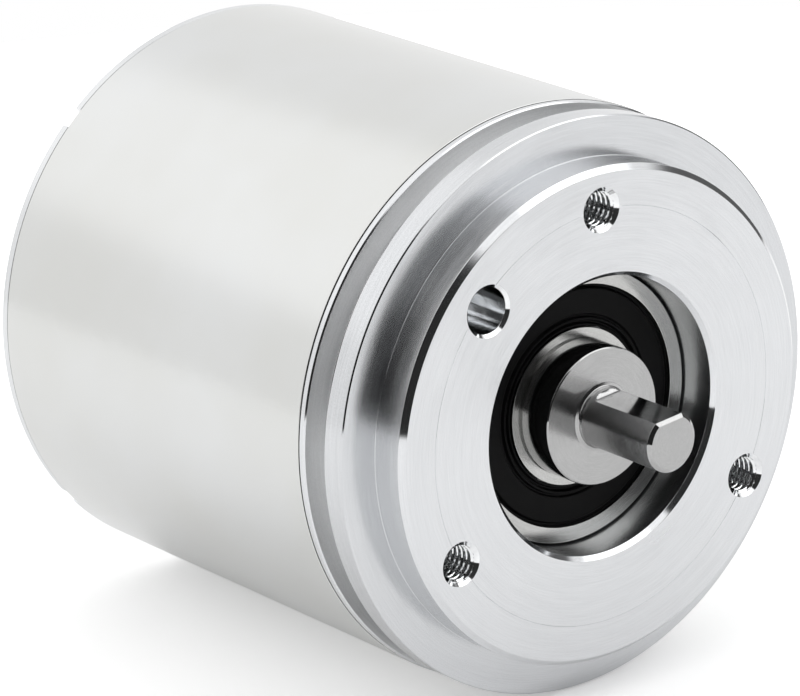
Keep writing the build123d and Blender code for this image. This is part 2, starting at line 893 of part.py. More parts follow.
def counting_wheel(number):
    """Moulded wheel with its pinion, running on an axle and carrying a magnet at its back."""
    front = level_fronts[number]
    rear = front - gear_thickness
    wheel = slab(gear_outline(wheel_teeth, wheel_addendum, gear_phases[number], 2), front, rear)
    if number < 2:
        pinion_rear = level_fronts[number + 1] - gear_thickness
        wheel += slab(gear_outline(pinion_teeth, pinion_addendum, 0.0, 2), rear, pinion_rear)
    hub = module * pinion_teeth / 2 - dedendum * module
    wheel += rod(gear_base_rear - gear_gap, magnet_front, hub)
    wheel += rod(magnet_front, magnet_rear, magnet_bore / 2)
    wheel -= rod(gear_base_rear, magnet_rear, axle_diameter / 2 + axle_play)
    return Pos(0, *gear_places[number]) * wheel


def counting_magnet(number):
    """Ring magnet on the back of a counting wheel."""
    return tube(magnet_front, magnet_rear, magnet_outer / 2, magnet_bore / 2, *gear_places[number])


def gear_plate_shape():
    """Round plate with a lug around each stud."""
    shape = Circle(stud_radius)
    for angle in stud_angles:
        shape += Pos(*polar(stud_radius, angle)) * Circle(lug_radius)
    return shape


def through_studs(part, x_front, x_rear):
    """Part with the three stud holes cut through it."""
    for angle in stud_angles:
        part -= rod(x_front, x_rear, stud_diameter / 2 + stud_play, *polar(stud_radius, angle))
    return part


def gear_base():
    """Moulded base of the gear unit: plate, feet on the sensor board, towers for the cover."""
    base = slab(gear_plate_shape(), gear_base_front, gear_base_rear)
    for angle in stud_angles:
        place = polar(stud_radius, angle)
        base += rod(sensor_board_rear, gear_base_front, lug_radius, *place)
        base += rod(gear_base_rear, gear_cover_front, lug_radius, *place)
    base -= rod(gear_base_front, gear_base_rear, board_hole / 2)
    for place in gear_places:
        base -= rod(gear_base_rear + axle_seat, gear_base_rear, axle_diameter / 2, *place)
    return through_studs(base, sensor_board_rear, gear_cover_front)


def gear_cover():
    """Cover of the gear unit, which holds the axles' far ends and carries the interface board."""
    cover = slab(gear_plate_shape(), gear_cover_front, gear_cover_rear)
    for angle in stud_angles:
        cover += rod(gear_cover_rear, interface_board_front, lug_radius, *polar(stud_radius, angle))
    for place in gear_places:
        cover -= rod(gear_cover_front, gear_cover_front - axle_seat, axle_diameter / 2, *place)
    return through_studs(cover, gear_cover_front, interface_board_front)


def gear_axles():
    """Three steel axles between base and cover."""
    return group(rod(gear_base_rear + axle_seat, gear_cover_front - axle_seat, axle_diameter / 2, *place)
                 for place in gear_places)


def counting_sensors():
    """Three magnetic angle sensors, one behind each counting wheel."""
    middle = interface_board_front + chip_thickness / 2
    return group(Pos(middle, *place) * Box(chip_thickness, chip_width, chip_length) for place in gear_places)


# Connector

def contacts():
    """Eight contact pins: one in the middle and seven around it."""
    x_rear = connector_seat - insert_face - contact_reach
    places = [(0.0, 0.0)] + [polar(contact_circle / 2, i * 360 / contact_count) for i in range(contact_count)]
    return [rod(interface_board_front, x_rear, contact_diameter / 2, *place) for place in places]


def connector_pins():
    """Gold-plated pins from the interface board to the plug's mouth."""
    return group(contacts())


def connector_insert():
    """Moulded insert that holds the pins, with the coding key."""
    insert = rod(insert_front, connector_seat - insert_face, connector_bore / 2)
    for contact in contacts():
        insert -= contact
    key = block(connector_seat - insert_face, connector_end + key_setback, key_height, key_width,
                connector_bore / 2 - key_height / 2 - 0.05, 90)
    return insert + key


def connector_shell():
    """Nickel-plated body: shank through the cap, hexagon outside, threaded nose."""
    profile = [
        (shank_front, connector_bore / 2),
        (shank_front, connector_shank / 2),
        (connector_seat, connector_shank / 2),
        (connector_seat - connector_hex, connector_shank / 2),
        (connector_seat - connector_hex, connector_thread / 2 - thread_relief),
        (connector_seat - connector_hex - connector_neck, connector_thread / 2 - thread_relief),
        (connector_seat - connector_hex - connector_neck, connector_thread / 2),
        (connector_end + 0.5, connector_thread / 2),
        (connector_end, connector_thread / 2 - 0.5),
        (connector_end, connector_bore / 2),
    ]
    hexagon = RegularPolygon(connector_flats / 2, 6, major_radius=False)
    collar = slab(hexagon, connector_seat, connector_seat - connector_hex)
    return turned(profile) + (collar - rod(connector_seat, connector_seat - connector_hex, connector_bore / 2))


def connector_seal():
    """Rubber ring under the connector's hexagon."""
    return tube(connector_seat + seal_height, connector_seat,
                connector_shank / 2 + seal_cord, connector_shank / 2)


def connector_lock_nut():
    """Hexagon nut that holds the connector from inside the cap."""
    hexagon = RegularPolygon(connector_flats / 2, 6, major_radius=False) - Circle(connector_shank / 2)
    return slab(hexagon, cap_front + connector_nut, cap_front)


front_bearing = (front_bearing_face, front_bore, front_outside, front_width, front_ball)
rear_bearing = (rear_bearing_face, rear_bore, rear_outside, rear_width, rear_ball)

parts = {
    "flange": flange(),
    "flange_ring": flange_ring(),
    "housing_sleeve": housing_sleeve(),
    "rear_cap": rear_cap(),
    "cap_ring": cap_ring(),
    "cap_screws": cap_screws(),
    "front_bearing_outer_ring": outer_ring(*front_bearing),
    "front_bearing_inner_ring": inner_ring(*front_bearing),
    "front_bearing_balls": ball_set(*front_bearing, front_balls),
    "front_bearing_cage": crown_cage(*front_bearing, front_balls),
    "front_bearing_front_seal": rubber_seal(front_bearing_face, 1),
    "front_bearing_rear_seal": rubber_seal(web_front, -1),
    "rear_bearing_outer_ring": outer_ring(*rear_bearing),
    "rear_bearing_inner_ring": inner_ring(*rear_bearing),
    "rear_bearing_balls": ball_set(*rear_bearing, rear_balls),
    "rear_bearing_cage": crown_cage(*rear_bearing, rear_balls),
    "rear_bearing_shields": bearing_shields(),
    "preload_spring": preload_spring(),
    "shaft": shaft(),
    "retaining_ring": retaining_ring(),
    "disc_hub": disc_hub(),
    "grub_screws": grub_screws(),
    "code_disc": code_disc(),
    "disc_clamp": disc_clamp(),
    "light_board": light_board(),
    "light_screws": light_screws(),
    "light_leads": light_leads(),
    "lamp_holder": lamp_holder(),
    "lamp": lamp(),
    "lens": lens(),
    "light_sensor": light_sensor(),
    "scanning_mask": scanning_mask(),
    "sensor_board": sensor_board(),
    "interface_board": interface_board(),
    "studs": studs(),
    "front_spacers": front_spacers(),
    "rear_pillars": rear_pillars(),
    "board_header": board_header(),
    "processor": processor(),
    "line_driver": line_driver(),
    "smoothing_capacitor": smoothing_capacitor(),
    "shaft_pinion": shaft_pinion(),
    "gear_base": gear_base(),
    "gear_cover": gear_cover(),
    "gear_axles": gear_axles(),
    "counting_sensors": counting_sensors(),
    "connector_shell": connector_shell(),
    "connector_insert": connector_insert(),
    "connector_pins": connector_pins(),
    "connector_seal": connector_seal(),
    "connector_lock_nut": connector_lock_nut(),
}
for number in range(3):
    parts[f"counting_wheel_{number + 1}"] = counting_wheel(number)
    parts[f"counting_magnet_{number + 1}"] = counting_magnet(number)

os.makedirs("parts", exist_ok=True)
for name, part in parts.items():
    export_step(part, f"parts/{name}.step")
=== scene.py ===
import math
import bpy
import numpy as np
from mathutils import Matrix


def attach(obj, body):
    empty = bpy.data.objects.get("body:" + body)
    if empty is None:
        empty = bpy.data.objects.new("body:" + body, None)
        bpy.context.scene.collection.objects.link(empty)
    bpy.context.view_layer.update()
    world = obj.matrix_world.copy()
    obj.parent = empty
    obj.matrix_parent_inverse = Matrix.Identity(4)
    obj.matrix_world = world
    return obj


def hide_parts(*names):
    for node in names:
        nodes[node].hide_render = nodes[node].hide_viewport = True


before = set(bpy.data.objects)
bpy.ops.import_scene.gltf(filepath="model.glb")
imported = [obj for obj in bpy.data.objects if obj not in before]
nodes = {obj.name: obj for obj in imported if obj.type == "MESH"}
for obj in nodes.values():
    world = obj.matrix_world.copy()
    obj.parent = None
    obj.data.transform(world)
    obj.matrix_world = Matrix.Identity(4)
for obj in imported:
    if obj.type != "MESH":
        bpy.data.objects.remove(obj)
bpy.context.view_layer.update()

# ---------------------------------------------------------------------------
# Flange. One piece of aluminium, turned on a lathe: pilot, shoulder, thin rim, clamping groove, sleeve
# seat and bearing hub. Three holes are tapped M4 and one is plain, all drilled from the front face.
# ---------------------------------------------------------------------------
MM = 0.001
face_x, before_face = 4.0, 4.6
pilot_radius, rim_radius, recess_radius = 25.0, 29.0, 14.0
groove_front, groove_rear, groove_bottom = -2.6, -5.6, 26.5
flange_rear = -12.0
screw_circle, screw_turns = 20.9, (90, 210, 330)
plain_circle, plain_turn = 19.8, 135.3
scribed_circle = 20.95
tap_core, tap_outside, tap_pitch, tap_depth = 1.68, 1.96, 0.7, 9.0
tap_crest, tap_flanks = 0.46, 0.44
hole_mouth = 2.25
plain_radius, plain_mouth, plain_depth = 2.3, 0.92, 8.0
stud_circle, stud_turns, stud_bore, stud_depth = 23.0, (30, 150, 270), 1.5, 4.5
flange_corners = [
    (face_x, 14.45, 0.03), (face_x, scribed_circle - 0.03, 0.0), (3.965, scribed_circle - 0.01, 0.0),
    (3.965, scribed_circle + 0.01, 0.0), (face_x, scribed_circle + 0.03, 0.0), (face_x, 24.45, 0.04),
    (3.45, pilot_radius, 0.04), (0.0, pilot_radius, 0.05), (0.0, 28.87, 0.02), (-0.13, rim_radius, 0.02),
    (groove_front, rim_radius, 0.015), (groove_front, groove_bottom, 0.2),
    (groove_rear, groove_bottom, 0.2), (groove_rear, 28.98, 0.02), (-5.75, 29.13, 0.03), (-6.32, 29.13, 0.02),
    (-6.32, 28.2, 0.0), (-8.175, 28.2, 0.1), (-8.175, 26.85, 0.2), (-10.125, 26.85, 0.2),
    (-10.125, 28.2, 0.1), (-11.75, 28.2, 0.05), (flange_rear, 27.95, 0.05), (flange_rear, 13.5, 0.3),
    (-22.6, 13.5, 0.2), (-22.6, 11.0, 0.15),
    (-13.6, 11.0, 0.1), (-13.6, 9.5, 0.1), (-8.4, 9.5, 0.1), (-8.4, recess_radius, 0.1),
    (3.55, recess_radius, 0.03),
]


def rounded(corners, steps=4, closed=True):
    """Outline of (x, r) points through the given corners. A corner (x, r, size) becomes an arc of that
    radius, tangent to both sides: centre plus the start and end spokes, blended by the sines of the
    angle left and the angle done. A point stands just before and after it, so the flats stay flat."""
    corner = np.array([c[:2] for c in corners], float)
    size = np.array([c[2] for c in corners], float)
    count = len(corner)
    out = []
    for i in range(count):
        here = corner[i]
        if size[i] == 0 or (not closed and i in (0, count - 1)):
            out.append(here[None])
            continue
        to_last = corner[i - 1] - here
        to_next = corner[(i + 1) % count] - here
        room = min(np.linalg.norm(to_last), np.linalg.norm(to_next)) / 2
        to_last = to_last / np.linalg.norm(to_last)
        to_next = to_next / np.linalg.norm(to_next)
        half = math.acos(np.clip(to_last @ to_next, -1, 1)) / 2
        reach = min(size[i] / math.tan(half), room * 0.9)
        radius = reach * math.tan(half)
        middle = here + (to_last + to_next) / np.linalg.norm(to_last + to_next) * radius / math.sin(half)
        first = here + to_last * reach - middle
        last = here + to_next * reach - middle
        sweep = math.pi - 2 * half
        t = np.linspace(0, 1, steps + 1)[:, None]
        arc = middle + (np.sin((1 - t) * sweep) * first + np.sin(t * sweep) * last) / math.sin(sweep)
        guard = min(0.04, (room - reach) * 0.9)
        out.append(here + to_last * (reach + guard) + np.zeros((1, 2)))
        out.append(arc)
        out.append(here + to_next * (reach + guard) + np.zeros((1, 2)))
    return np.concatenate(out)


def around(count):
    """Angles of one turn, evenly spaced, without the last."""
    return np.arange(count) * 2 * math.pi / count


def swept(x, r, angle, y=0.0, z=0.0):
    """Points (x, y + r cos a, z + r sin a): rows follow the outline and columns the angle, in mm."""
    x, r, angle = np.broadcast_arrays(x, r, angle)
    return np.stack([x, y + r * np.cos(angle), z + r * np.sin(angle)], axis=-1)


def skin(points, ring):
    """Vertices and faces of a grid that closes around the axis. With ring, the last row joins the
    first; without it the end rows are poles. A row that shrinks to a point becomes one vertex. The
    faces come as three arrays: four-sided ones, and triangles at poles below and above."""
    rows, turns, _ = points.shape
    pole = np.ptp(points, axis=1).max(axis=1) < 1e-7
    size = np.where(pole, 1, turns)
    index = (np.cumsum(size) - size)[:, None] + np.where(pole[:, None], 0, np.arange(turns))
    verts = points[~pole[:, None] | (np.arange(turns) == 0)]
    below = index if ring else index[:-1]
    above = np.roll(index, -1, axis=0) if ring else index[1:]
    quad = np.stack([below, above, np.roll(above, -1, axis=1), np.roll(below, -1, axis=1)], axis=-1)
    quad = quad.reshape(-1, 4)
    low = quad[:, 0] == quad[:, 3]
    high = quad[:, 1] == quad[:, 2]
    return verts, [quad[~low & ~high], quad[low][:, :3], quad[high][:, [0, 1, 3]]]


def solid_volume(verts, faces):
    """Signed volume: a sixth of the sum of a . (b x c) over the fan triangles of every face."""
    fans = np.concatenate([alike[:, [0, k, k + 1]]
                           for alike in faces for k in range(1, alike.shape[1] - 1)])
    a, b, c = verts[fans.T]
    return np.einsum("ij,ij->i", a, np.cross(b, c)).sum() / 6


def plain_mesh(name, verts, faces):
    """Mesh from vertices in mm and arrays of faces. The faces in one array have as many corners each."""
    mesh = bpy.data.meshes.new(name)
    mesh.from_pydata(verts * MM, [], [face for alike in faces for face in alike.tolist()])
    return mesh


def smooth(mesh, sharp):
    """Smooth shading, with hard edges where faces meet at more than the given degrees."""
    mesh.shade_smooth()
    mesh.set_sharp_from_angle(angle=math.radians(sharp))


def make(name, *skins, sharp=28):
    """Object of one or more skins, turned outwards, smooth except at edges sharper than the angle."""
    verts, faces, start = [], [], 0
    for part_verts, part_faces in skins:
        step = -1 if solid_volume(part_verts, part_faces) < 0 else 1
        faces += [alike[:, ::step] + start for alike in part_faces]
        verts.append(part_verts)
        start += len(part_verts)
    mesh = plain_mesh(name, np.concatenate(verts), faces)
    smooth(mesh, sharp)
    made = bpy.data.objects.new(name, mesh)
    bpy.context.scene.collection.objects.link(made)
    return made


def lathe(corners, turns=384, y=0.0, z=0.0):
    """Ring turned about the axis: the rounded outline carried once round."""
    line = rounded(corners)
    return skin(swept(line[:, :1], line[:, 1:], around(turns), y, z), True)


def turned_plug(corners, turns=96, y=0.0, z=0.0):
    """Solid pin turned about its own axis, from pole to pole."""
    line = rounded(corners, closed=False)
    return skin(swept(line[:, :1], line[:, 1:], around(turns), y, z), False)


def thread_depth(turn, crest=0.18, flanks=0.62):
    """Thread form over one turn: 0 on the crest, 1 at the bottom, with straight flanks between. Crest
    and flanks are shares of one pitch."""
    wave = np.abs(2 * (turn % 1.0) - 1)
    return np.clip((wave - crest) / flanks, 0, 1)


def tapped_hole(y, z, turns=80):
    """Shape that a tap leaves: radius = core + thread form of (depth / pitch + angle / one turn), with a
    countersunk mouth and a drill point. Its rows stand closer in the half that can be seen."""
    bottom = face_x - tap_depth
    near_rows, far_rows = np.arange(face_x + 0.2, 0.0, -0.035), np.arange(0.0, bottom, -0.1)
    x = np.concatenate([[before_face, before_face], near_rows, far_rows, [bottom - 0.2, bottom - 1.2]])
    angle = around(turns)
    form = thread_depth(x[:, None] / tap_pitch + angle / (2 * math.pi), tap_crest, tap_flanks)
    fade = np.clip((x - (bottom + 0.4)) / 0.8, 0, 1)[:, None]
    r = tap_core + (tap_outside - tap_core) * form * fade
    r = np.maximum(r, hole_mouth + (x[:, None] - face_x))
    r[[0, -1]] = 0
    return skin(swept(x[:, None], r, angle, y, z), False)


def polar(radius, angle):
    """Place across the axis: radius and degrees from +Y towards +Z."""
    return radius * math.cos(math.radians(angle)), radius * math.sin(math.radians(angle))


def cut(body, *cutters):
    """Takes the cutters out of the body, and keeps the result as its plain mesh."""
    tool = make("cutter", *cutters)
    step = body.modifiers.new("cut", "BOOLEAN")
    step.operation = "DIFFERENCE"
    step.solver = "MANIFOLD"
    step.object = tool
    bpy.context.view_layer.update()
    ready = bpy.data.meshes.new_from_object(body.evaluated_get(bpy.context.evaluated_depsgraph_get()))
    body.modifiers.clear()
    body.data = ready
    body.data.materials.clear()
    bpy.data.objects.remove(tool)
    smooth(body.data, 28)


def put(tree, kind, values=None, **settings):
    """New node with its settings. A value is a number, a colour or a socket to be joined to it."""
    made = tree.nodes.new(kind)
    for key, value in settings.items():
        setattr(made, key, value)
    for key, value in (values or {}).items():
        if isinstance(value, bpy.types.NodeSocket):
            tree.links.new(value, made.inputs[key])
        else:
            made.inputs[key].default_value = value
    return made


def maths(tree, operation, *values):
    """Result of a Math node."""
    return put(tree, "ShaderNodeMath", dict(enumerate(values)), operation=operation).outputs[0]


def between(tree, value, start, end, low=0.0, high=1.0):
    """Smooth step from low at start to high at end."""
    return put(tree, "ShaderNodeMapRange", {"Value": value, "From Min": start, "From Max": end,
                                            "To Min": low, "To Max": high},
               interpolation_type="SMOOTHSTEP").outputs[0]


def mixed(tree, factor, first, second):
    """Colour between two others."""
    made = put(tree, "ShaderNodeMix", {"Factor": factor}, data_type="RGBA")
    for socket, value in ((made.inputs[6], first), (made.inputs[7], second)):
        if isinstance(value, bpy.types.NodeSocket):
            tree.links.new(value, socket)
        else:
            socket.default_value = (*value, 1.0)
    return made.outputs[2]


def weighed(tree, factor, first, second):
    """Number between two others."""
    return put(tree, "ShaderNodeMix", {0: factor, 2: first, 3: second}, data_type="FLOAT").outputs[0]


def bumped(tree, depth, height):
    """Surface direction as tilted by a height from 0 to 1 that stands for the depth in metres."""
    return put(tree, "ShaderNodeBump", {"Strength": 1.0, "Distance": depth, "Height": height}).outputs[0]


def group(name, inputs, outputs):
    """Empty node group with float inputs and outputs; gives the tree, its inputs and its end node."""
    tree = bpy.data.node_groups.new(name, "ShaderNodeTree")
    for label, value in inputs.items():
        socket = tree.interface.new_socket(label, in_out="INPUT", socket_type="NodeSocketFloat")
        socket.default_value = value
    for label in outputs:
        tree.interface.new_socket(label, in_out="OUTPUT", socket_type="NodeSocketFloat")
    return tree, tree.nodes.new("NodeGroupInput").outputs, tree.nodes.new("NodeGroupOutput")


def turning_group():
    """Tool marks of a lathe: noise that is fine along the outline and long around the axis."""
    tree, given, end = group("turning_marks", {"Pitch": 0.00012, "Length": 4.0}, ("Marks", "Rings"))
    place = put(tree, "ShaderNodeTexCoord").outputs["Object"]
    xyz = put(tree, "ShaderNodeSeparateXYZ", {0: place}).outputs
    flat = put(tree, "ShaderNodeCombineXYZ", {1: xyz[1], 2: xyz[2]}).outputs[0]
    radius = put(tree, "ShaderNodeVectorMath", {0: flat}, operation="LENGTH").outputs["Value"]
    spoke = put(tree, "ShaderNodeVectorMath", {0: flat}, operation="NORMALIZE").outputs[0]
    spoke = put(tree, "ShaderNodeSeparateXYZ", {0: spoke}).outputs
    for label, factor in (("Marks", 1.0), ("Rings", 7.0)):
        pitch = maths(tree, "MULTIPLY", given["Pitch"], factor)
        across = put(tree, "ShaderNodeCombineXYZ", {
            0: maths(tree, "DIVIDE", radius, pitch),
            1: maths(tree, "MULTIPLY", spoke[1], given["Length"]),
            2: maths(tree, "MULTIPLY", spoke[2], given["Length"])}).outputs[0]
        noise = put(tree, "ShaderNodeTexNoise", {
            "Vector": across, "W": maths(tree, "DIVIDE", xyz[0], pitch), "Scale": 1.0, "Detail": 2.0,
            "Roughness": 0.6}, noise_dimensions="4D").outputs["Fac"]
        tree.links.new(noise, end.inputs[label])
    return tree


def grain_group():
    """Fine speckle of the metal and slow cloudiness of its handling."""
    tree, given, end = group("metal_grain", {"Grain": 9000.0, "Cloud": 90.0}, ("Speckle", "Clouds"))
    place = put(tree, "ShaderNodeTexCoord").outputs["Object"]
    for label, source, detail in (("Speckle", "Grain", 2.0), ("Clouds", "Cloud", 4.0)):
        noise = put(tree, "ShaderNodeTexNoise", {"Vector": place, "Scale": given[source], "Detail": detail,
                                                 "Roughness": 0.55}).outputs["Fac"]
        tree.links.new(noise, end.inputs[label])
    return tree


turning = turning_group()
grain = grain_group()


def marked(tree, pitch=0.00012):
    """Outputs of the tool marks for a material: fine ones, pitch metres apart, and wider rings."""
    return put(tree, "ShaderNodeGroup", {"Pitch": pitch}, node_tree=turning).outputs


def grained(tree, size=9000.0, cloud=90.0):
    """Outputs of the metal's grain for a material, from speckles and clouds per metre."""
    return put(tree, "ShaderNodeGroup", {"Grain": size, "Cloud": cloud}, node_tree=grain).outputs


def start_material(name, **fixed):
    """New material: its tree, and its surface shader with the given constant values."""
    made = bpy.data.materials.new(name)
    made.use_nodes = True
    tree = made.node_tree
    shader = tree.nodes["Principled BSDF"]
    for key, value in fixed.items():
        shader.inputs[key.replace("_", " ")].default_value = value
    return made, tree, shader


def join(tree, shader, **sockets):
    """Leads worked-out sockets into the surface shader."""
    for key, value in sockets.items():
        tree.links.new(value, shader.inputs[key.replace("_", " ")])


def circling(tree, y=0.0, z=0.0):
    """Direction round a line along X through (y, z) in mm, at each point: (0, z - its z, its y - y)."""
    xyz = put(tree, "ShaderNodeSeparateXYZ", {0: put(tree, "ShaderNodeTexCoord").outputs["Object"]}).outputs
    return put(tree, "ShaderNodeCombineXYZ", {1: maths(tree, "SUBTRACT", z * MM, xyz[2]),
                                              2: maths(tree, "SUBTRACT", xyz[1], y * MM)}).outputs[0]


def turned_metal(name, pale, dark, rough, side, polished, marks, lay, pitch=0.00012, edge_shade_tone=None):
    """Metal finished on a lathe: pale and dark tones, roughness on its faces, on its sides and on its cut
    edges, depth of the tool marks in metres, how strongly they stretch the reflections (lay), and their
    pitch in metres. An edge shade tone, if given, is painted shade on the chamfered edges."""
    made, tree, shader = start_material(name, Metallic=1.0, Anisotropic=lay, Anisotropic_Rotation=0.25)
    lines = marked(tree, pitch)
    specks = grained(tree)
    normal = put(tree, "ShaderNodeNewGeometry").outputs["True Normal"]
    along = maths(tree, "ABSOLUTE", put(tree, "ShaderNodeSeparateXYZ", {0: normal}).outputs[0])
    edge = maths(tree, "MULTIPLY", between(tree, along, 0.15, 0.35),
                 between(tree, along, 0.85, 0.97, 1.0, 0.0))
    wear = maths(tree, "ADD", maths(tree, "MULTIPLY", lines["Marks"], 0.45),
                 maths(tree, "MULTIPLY", specks["Speckle"], 0.55))
    colour = mixed(tree, between(tree, wear, 0.3, 0.7), dark, pale)
    # Painted shade: the edge shade tone darkens the chamfers and fillets, as if the crevices beside them were
    # in shade
    if edge_shade_tone:
        colour = mixed(tree, edge, colour, edge_shade_tone)
    base = between(tree, along, 0.2, 0.9, side, rough)
    cloudy = maths(tree, "MULTIPLY", base, between(tree, specks["Clouds"], 0.3, 0.7, 0.88, 1.12))
    lined = maths(tree, "ADD", cloudy, between(tree, lines["Rings"], 0.3, 0.7, -0.02, 0.02))
    surface = weighed(tree, edge, lined, polished)
    height = maths(tree, "ADD", maths(tree, "MULTIPLY", lines["Marks"], 0.6),
                   maths(tree, "MULTIPLY", specks["Speckle"], 0.4))
    join(tree, shader, Base_Color=colour, Roughness=surface, Normal=bumped(tree, marks, height),
         Tangent=circling(tree))
    return made


turned_aluminium = turned_metal("turned_aluminium", (0.76, 0.77, 0.785), (0.66, 0.67, 0.685),
                                rough=0.23, side=0.16, polished=0.08, marks=0.9e-6, lay=0.55)
rim_aluminium = turned_metal("rim_aluminium", (0.70, 0.71, 0.725), (0.60, 0.61, 0.625),
                             rough=0.18, side=0.16, polished=0.08, marks=0.3e-6, lay=0.7)
side_aluminium = turned_metal("side_aluminium", (0.74, 0.75, 0.765), (0.64, 0.65, 0.665),
                              rough=0.225, side=0.225, polished=0.08, marks=0.2e-6, lay=0.93)
groove_aluminium = turned_metal("groove_aluminium", (0.84, 0.845, 0.85), (0.74, 0.745, 0.75),
                                rough=0.34, side=0.33, polished=0.08, marks=0.9e-6, lay=0.6)
# Painted shade: a darker copy of the flange's aluminium for the bore behind the face, where shade falls
recess_aluminium_painted_shade = turned_metal("recess_aluminium_painted_shade", (0.54, 0.55, 0.56), (0.44, 0.45, 0.46),
                                rough=0.24, side=0.2, polished=0.08, marks=0.9e-6, lay=0.7)


def bored_metal(name, lay=0.0, rough=0.07, place=(0.0, 0.0)):
    """Aluminium as drills and taps leave it: bright, with fine rings round the hole's own line."""
    made, tree, shader = start_material(name, Metallic=1.0, Anisotropic=lay, Anisotropic_Rotation=0.25)
    specks = grained(tree, 5000.0, 900.0)
    colour = mixed(tree, between(tree, specks["Clouds"], 0.3, 0.7), (0.78, 0.79, 0.80), (0.90, 0.91, 0.92))
    dull = between(tree, specks["Clouds"], 0.3, 0.7, rough * 0.8, rough * 1.2)
    join(tree, shader, Base_Color=colour, Roughness=dull, Normal=bumped(tree, 0.5e-6, specks["Speckle"]),
         Tangent=circling(tree, *place))
    return made


def face_places(body):
    """Middles in mm and directions of all faces: a row each for x, y and z."""
    count = len(body.data.polygons)
    middle, facing = np.empty(count * 3), np.empty(count * 3)
    body.data.polygons.foreach_get("center", middle)
    body.data.polygons.foreach_get("normal", facing)
    return middle.reshape(-1, 3).T / MM, facing.reshape(-1, 3).T


def finish_faces(body, *finishes):
    """Gives the chosen faces their own finish; a later choice goes before an earlier one."""
    index = np.zeros(len(body.data.polygons), np.int32)
    for material, chosen in finishes:
        body.data.materials.append(material)
        index[chosen] = len(body.data.materials) - 1
    body.data.polygons.foreach_set("material_index", index)


flange = make("turned_flange", lathe(flange_corners, 256))
stud_places = [polar(stud_circle, turn) for turn in stud_turns]
screw_places = [polar(screw_circle, turn) for turn in screw_turns]
plain_place = polar(plain_circle, plain_turn)
plain_bottom = face_x - plain_depth
plain_drill = [(before_face, 0, 0), (before_face, plain_radius + plain_mouth, 0),
               (before_face - plain_mouth, plain_radius, 0.02), (plain_bottom, plain_radius, 0.1),
               (plain_bottom - 0.03, 0, 0)]
stud_bottom = flange_rear + stud_depth
stud_drill = [(flange_rear - 0.6, 0, 0), (flange_rear - 0.6, stud_bore, 0), (stud_bottom, stud_bore, 0.1),
              (stud_bottom + 0.8, 0, 0)]
cut(flange,
    *[tapped_hole(*place) for place in screw_places],
    turned_plug(plain_drill, 128, *plain_place),
    *[turned_plug(stud_drill, 48, *place) for place in stud_places])
flange.data.materials.append(turned_aluminium)
(x, y, z), facing = face_places(flange)
behind_face = (x < face_x - 0.005) & (x > -6.3)
near_screw = np.min([np.hypot(y - place[0], z - place[1]) for place in screw_places], axis=0) < 2.4
near_plain = np.hypot(y - plain_place[0], z - plain_place[1])
radius = np.hypot(y, z)
finish_faces(flange,
             (rim_aluminium, (radius > pilot_radius + 0.02) & (x > groove_front - 0.01) & (x < 0.3)),
             (groove_aluminium,
              (radius < rim_radius - 0.03) & (x > groove_rear - 0.01) & (x < groove_front + 0.01)),
             (side_aluminium, (radius > pilot_radius - 0.1) & (x > 0.06) & (x < 3.44)),
             # the bore gets the darker copy, as painted shade
             (recess_aluminium_painted_shade, (radius < recess_radius + 0.02) & (x > -9.0) & (x < 3.6)),
             (bored_metal("tapped_aluminium"), near_screw & behind_face),
             (bored_metal("chamfered_aluminium"), (near_plain < 3.4) & behind_face),
             (bored_metal("drilled_aluminium", lay=0.6, rough=0.12, place=plain_place),
              (near_plain < plain_radius + 0.02) & behind_face))
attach(flange, "housing")
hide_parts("flange")


# ---------------------------------------------------------------------------
# Front ball bearing, 12 x 28 x 8 mm. Ground steel rings with a pressed cage and eight balls between
# them, pushed into the flange, and closed on both faces by moulded rubber seals.
# ---------------------------------------------------------------------------
bearing_face, bearing_middle, bearing_rear = -0.4, -4.4, -8.4
race_radius = 2.476
ring_chamfer = 0.24
seal_seat = 1.0

# The near-black edge shade tone is painted shade: it darkens the rings' chamfered corners, and a band round
# each ball, like the shaded gaps beside them
bearing_steel = turned_metal("bearing_steel", (0.58, 0.58, 0.57), (0.44, 0.44, 0.43),
                             rough=0.18, side=0.12, polished=0.4, marks=0.4e-6, lay=0.45, pitch=0.08e-3,
                             edge_shade_tone=(0.06, 0.06, 0.06))


def raceway(bottom, side, edge):
    """Groove for the balls: points of a circle of the race radius that touches the bottom, from one
    edge of the shoulder to the other."""
    centre = bottom - side * race_radius
    half = math.acos(abs(edge - centre) / race_radius)
    return [(bearing_middle + race_radius * math.sin(t), centre + side * race_radius * math.cos(t), 0)
            for t in np.linspace(half, -half, 9)]


def bearing_ring(far, shoulder, land, bottom, side):
    """Section of a bearing ring: chamfered seat at the far side, lands with steps for the seals, and the
    raceway between them. The side is 1 for the outer ring and -1 for the inner one."""
    inward = far - side * ring_chamfer
    front, rear = bearing_face - seal_seat, bearing_rear + seal_seat
    return ([(bearing_face - ring_chamfer, far, 0.08), (bearing_face, inward, 0.08),
             (bearing_face, land, 0.06), (front, land, 0), (front, shoulder, 0.05)]
            + raceway(bottom, side, shoulder)
            + [(rear, shoulder, 0.05), (rear, land, 0), (bearing_rear, land, 0.06),
               (bearing_rear, inward, 0.08), (bearing_rear + 0.3, far, 0.08)])


for name, node, body, sizes in (
        ("bearing_outer_ring", "front_bearing_outer_ring", "housing", (14.0, 11.5, 12.2, 12.401, 1)),
        ("bearing_inner_ring", "front_bearing_inner_ring", "shaft", (6.0, 8.5, 7.93, 7.599, -1))):
    ring = make(name, lathe(bearing_ring(*sizes)))
    ring.data.materials.append(bearing_steel)
    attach(ring, body)
    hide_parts(node)


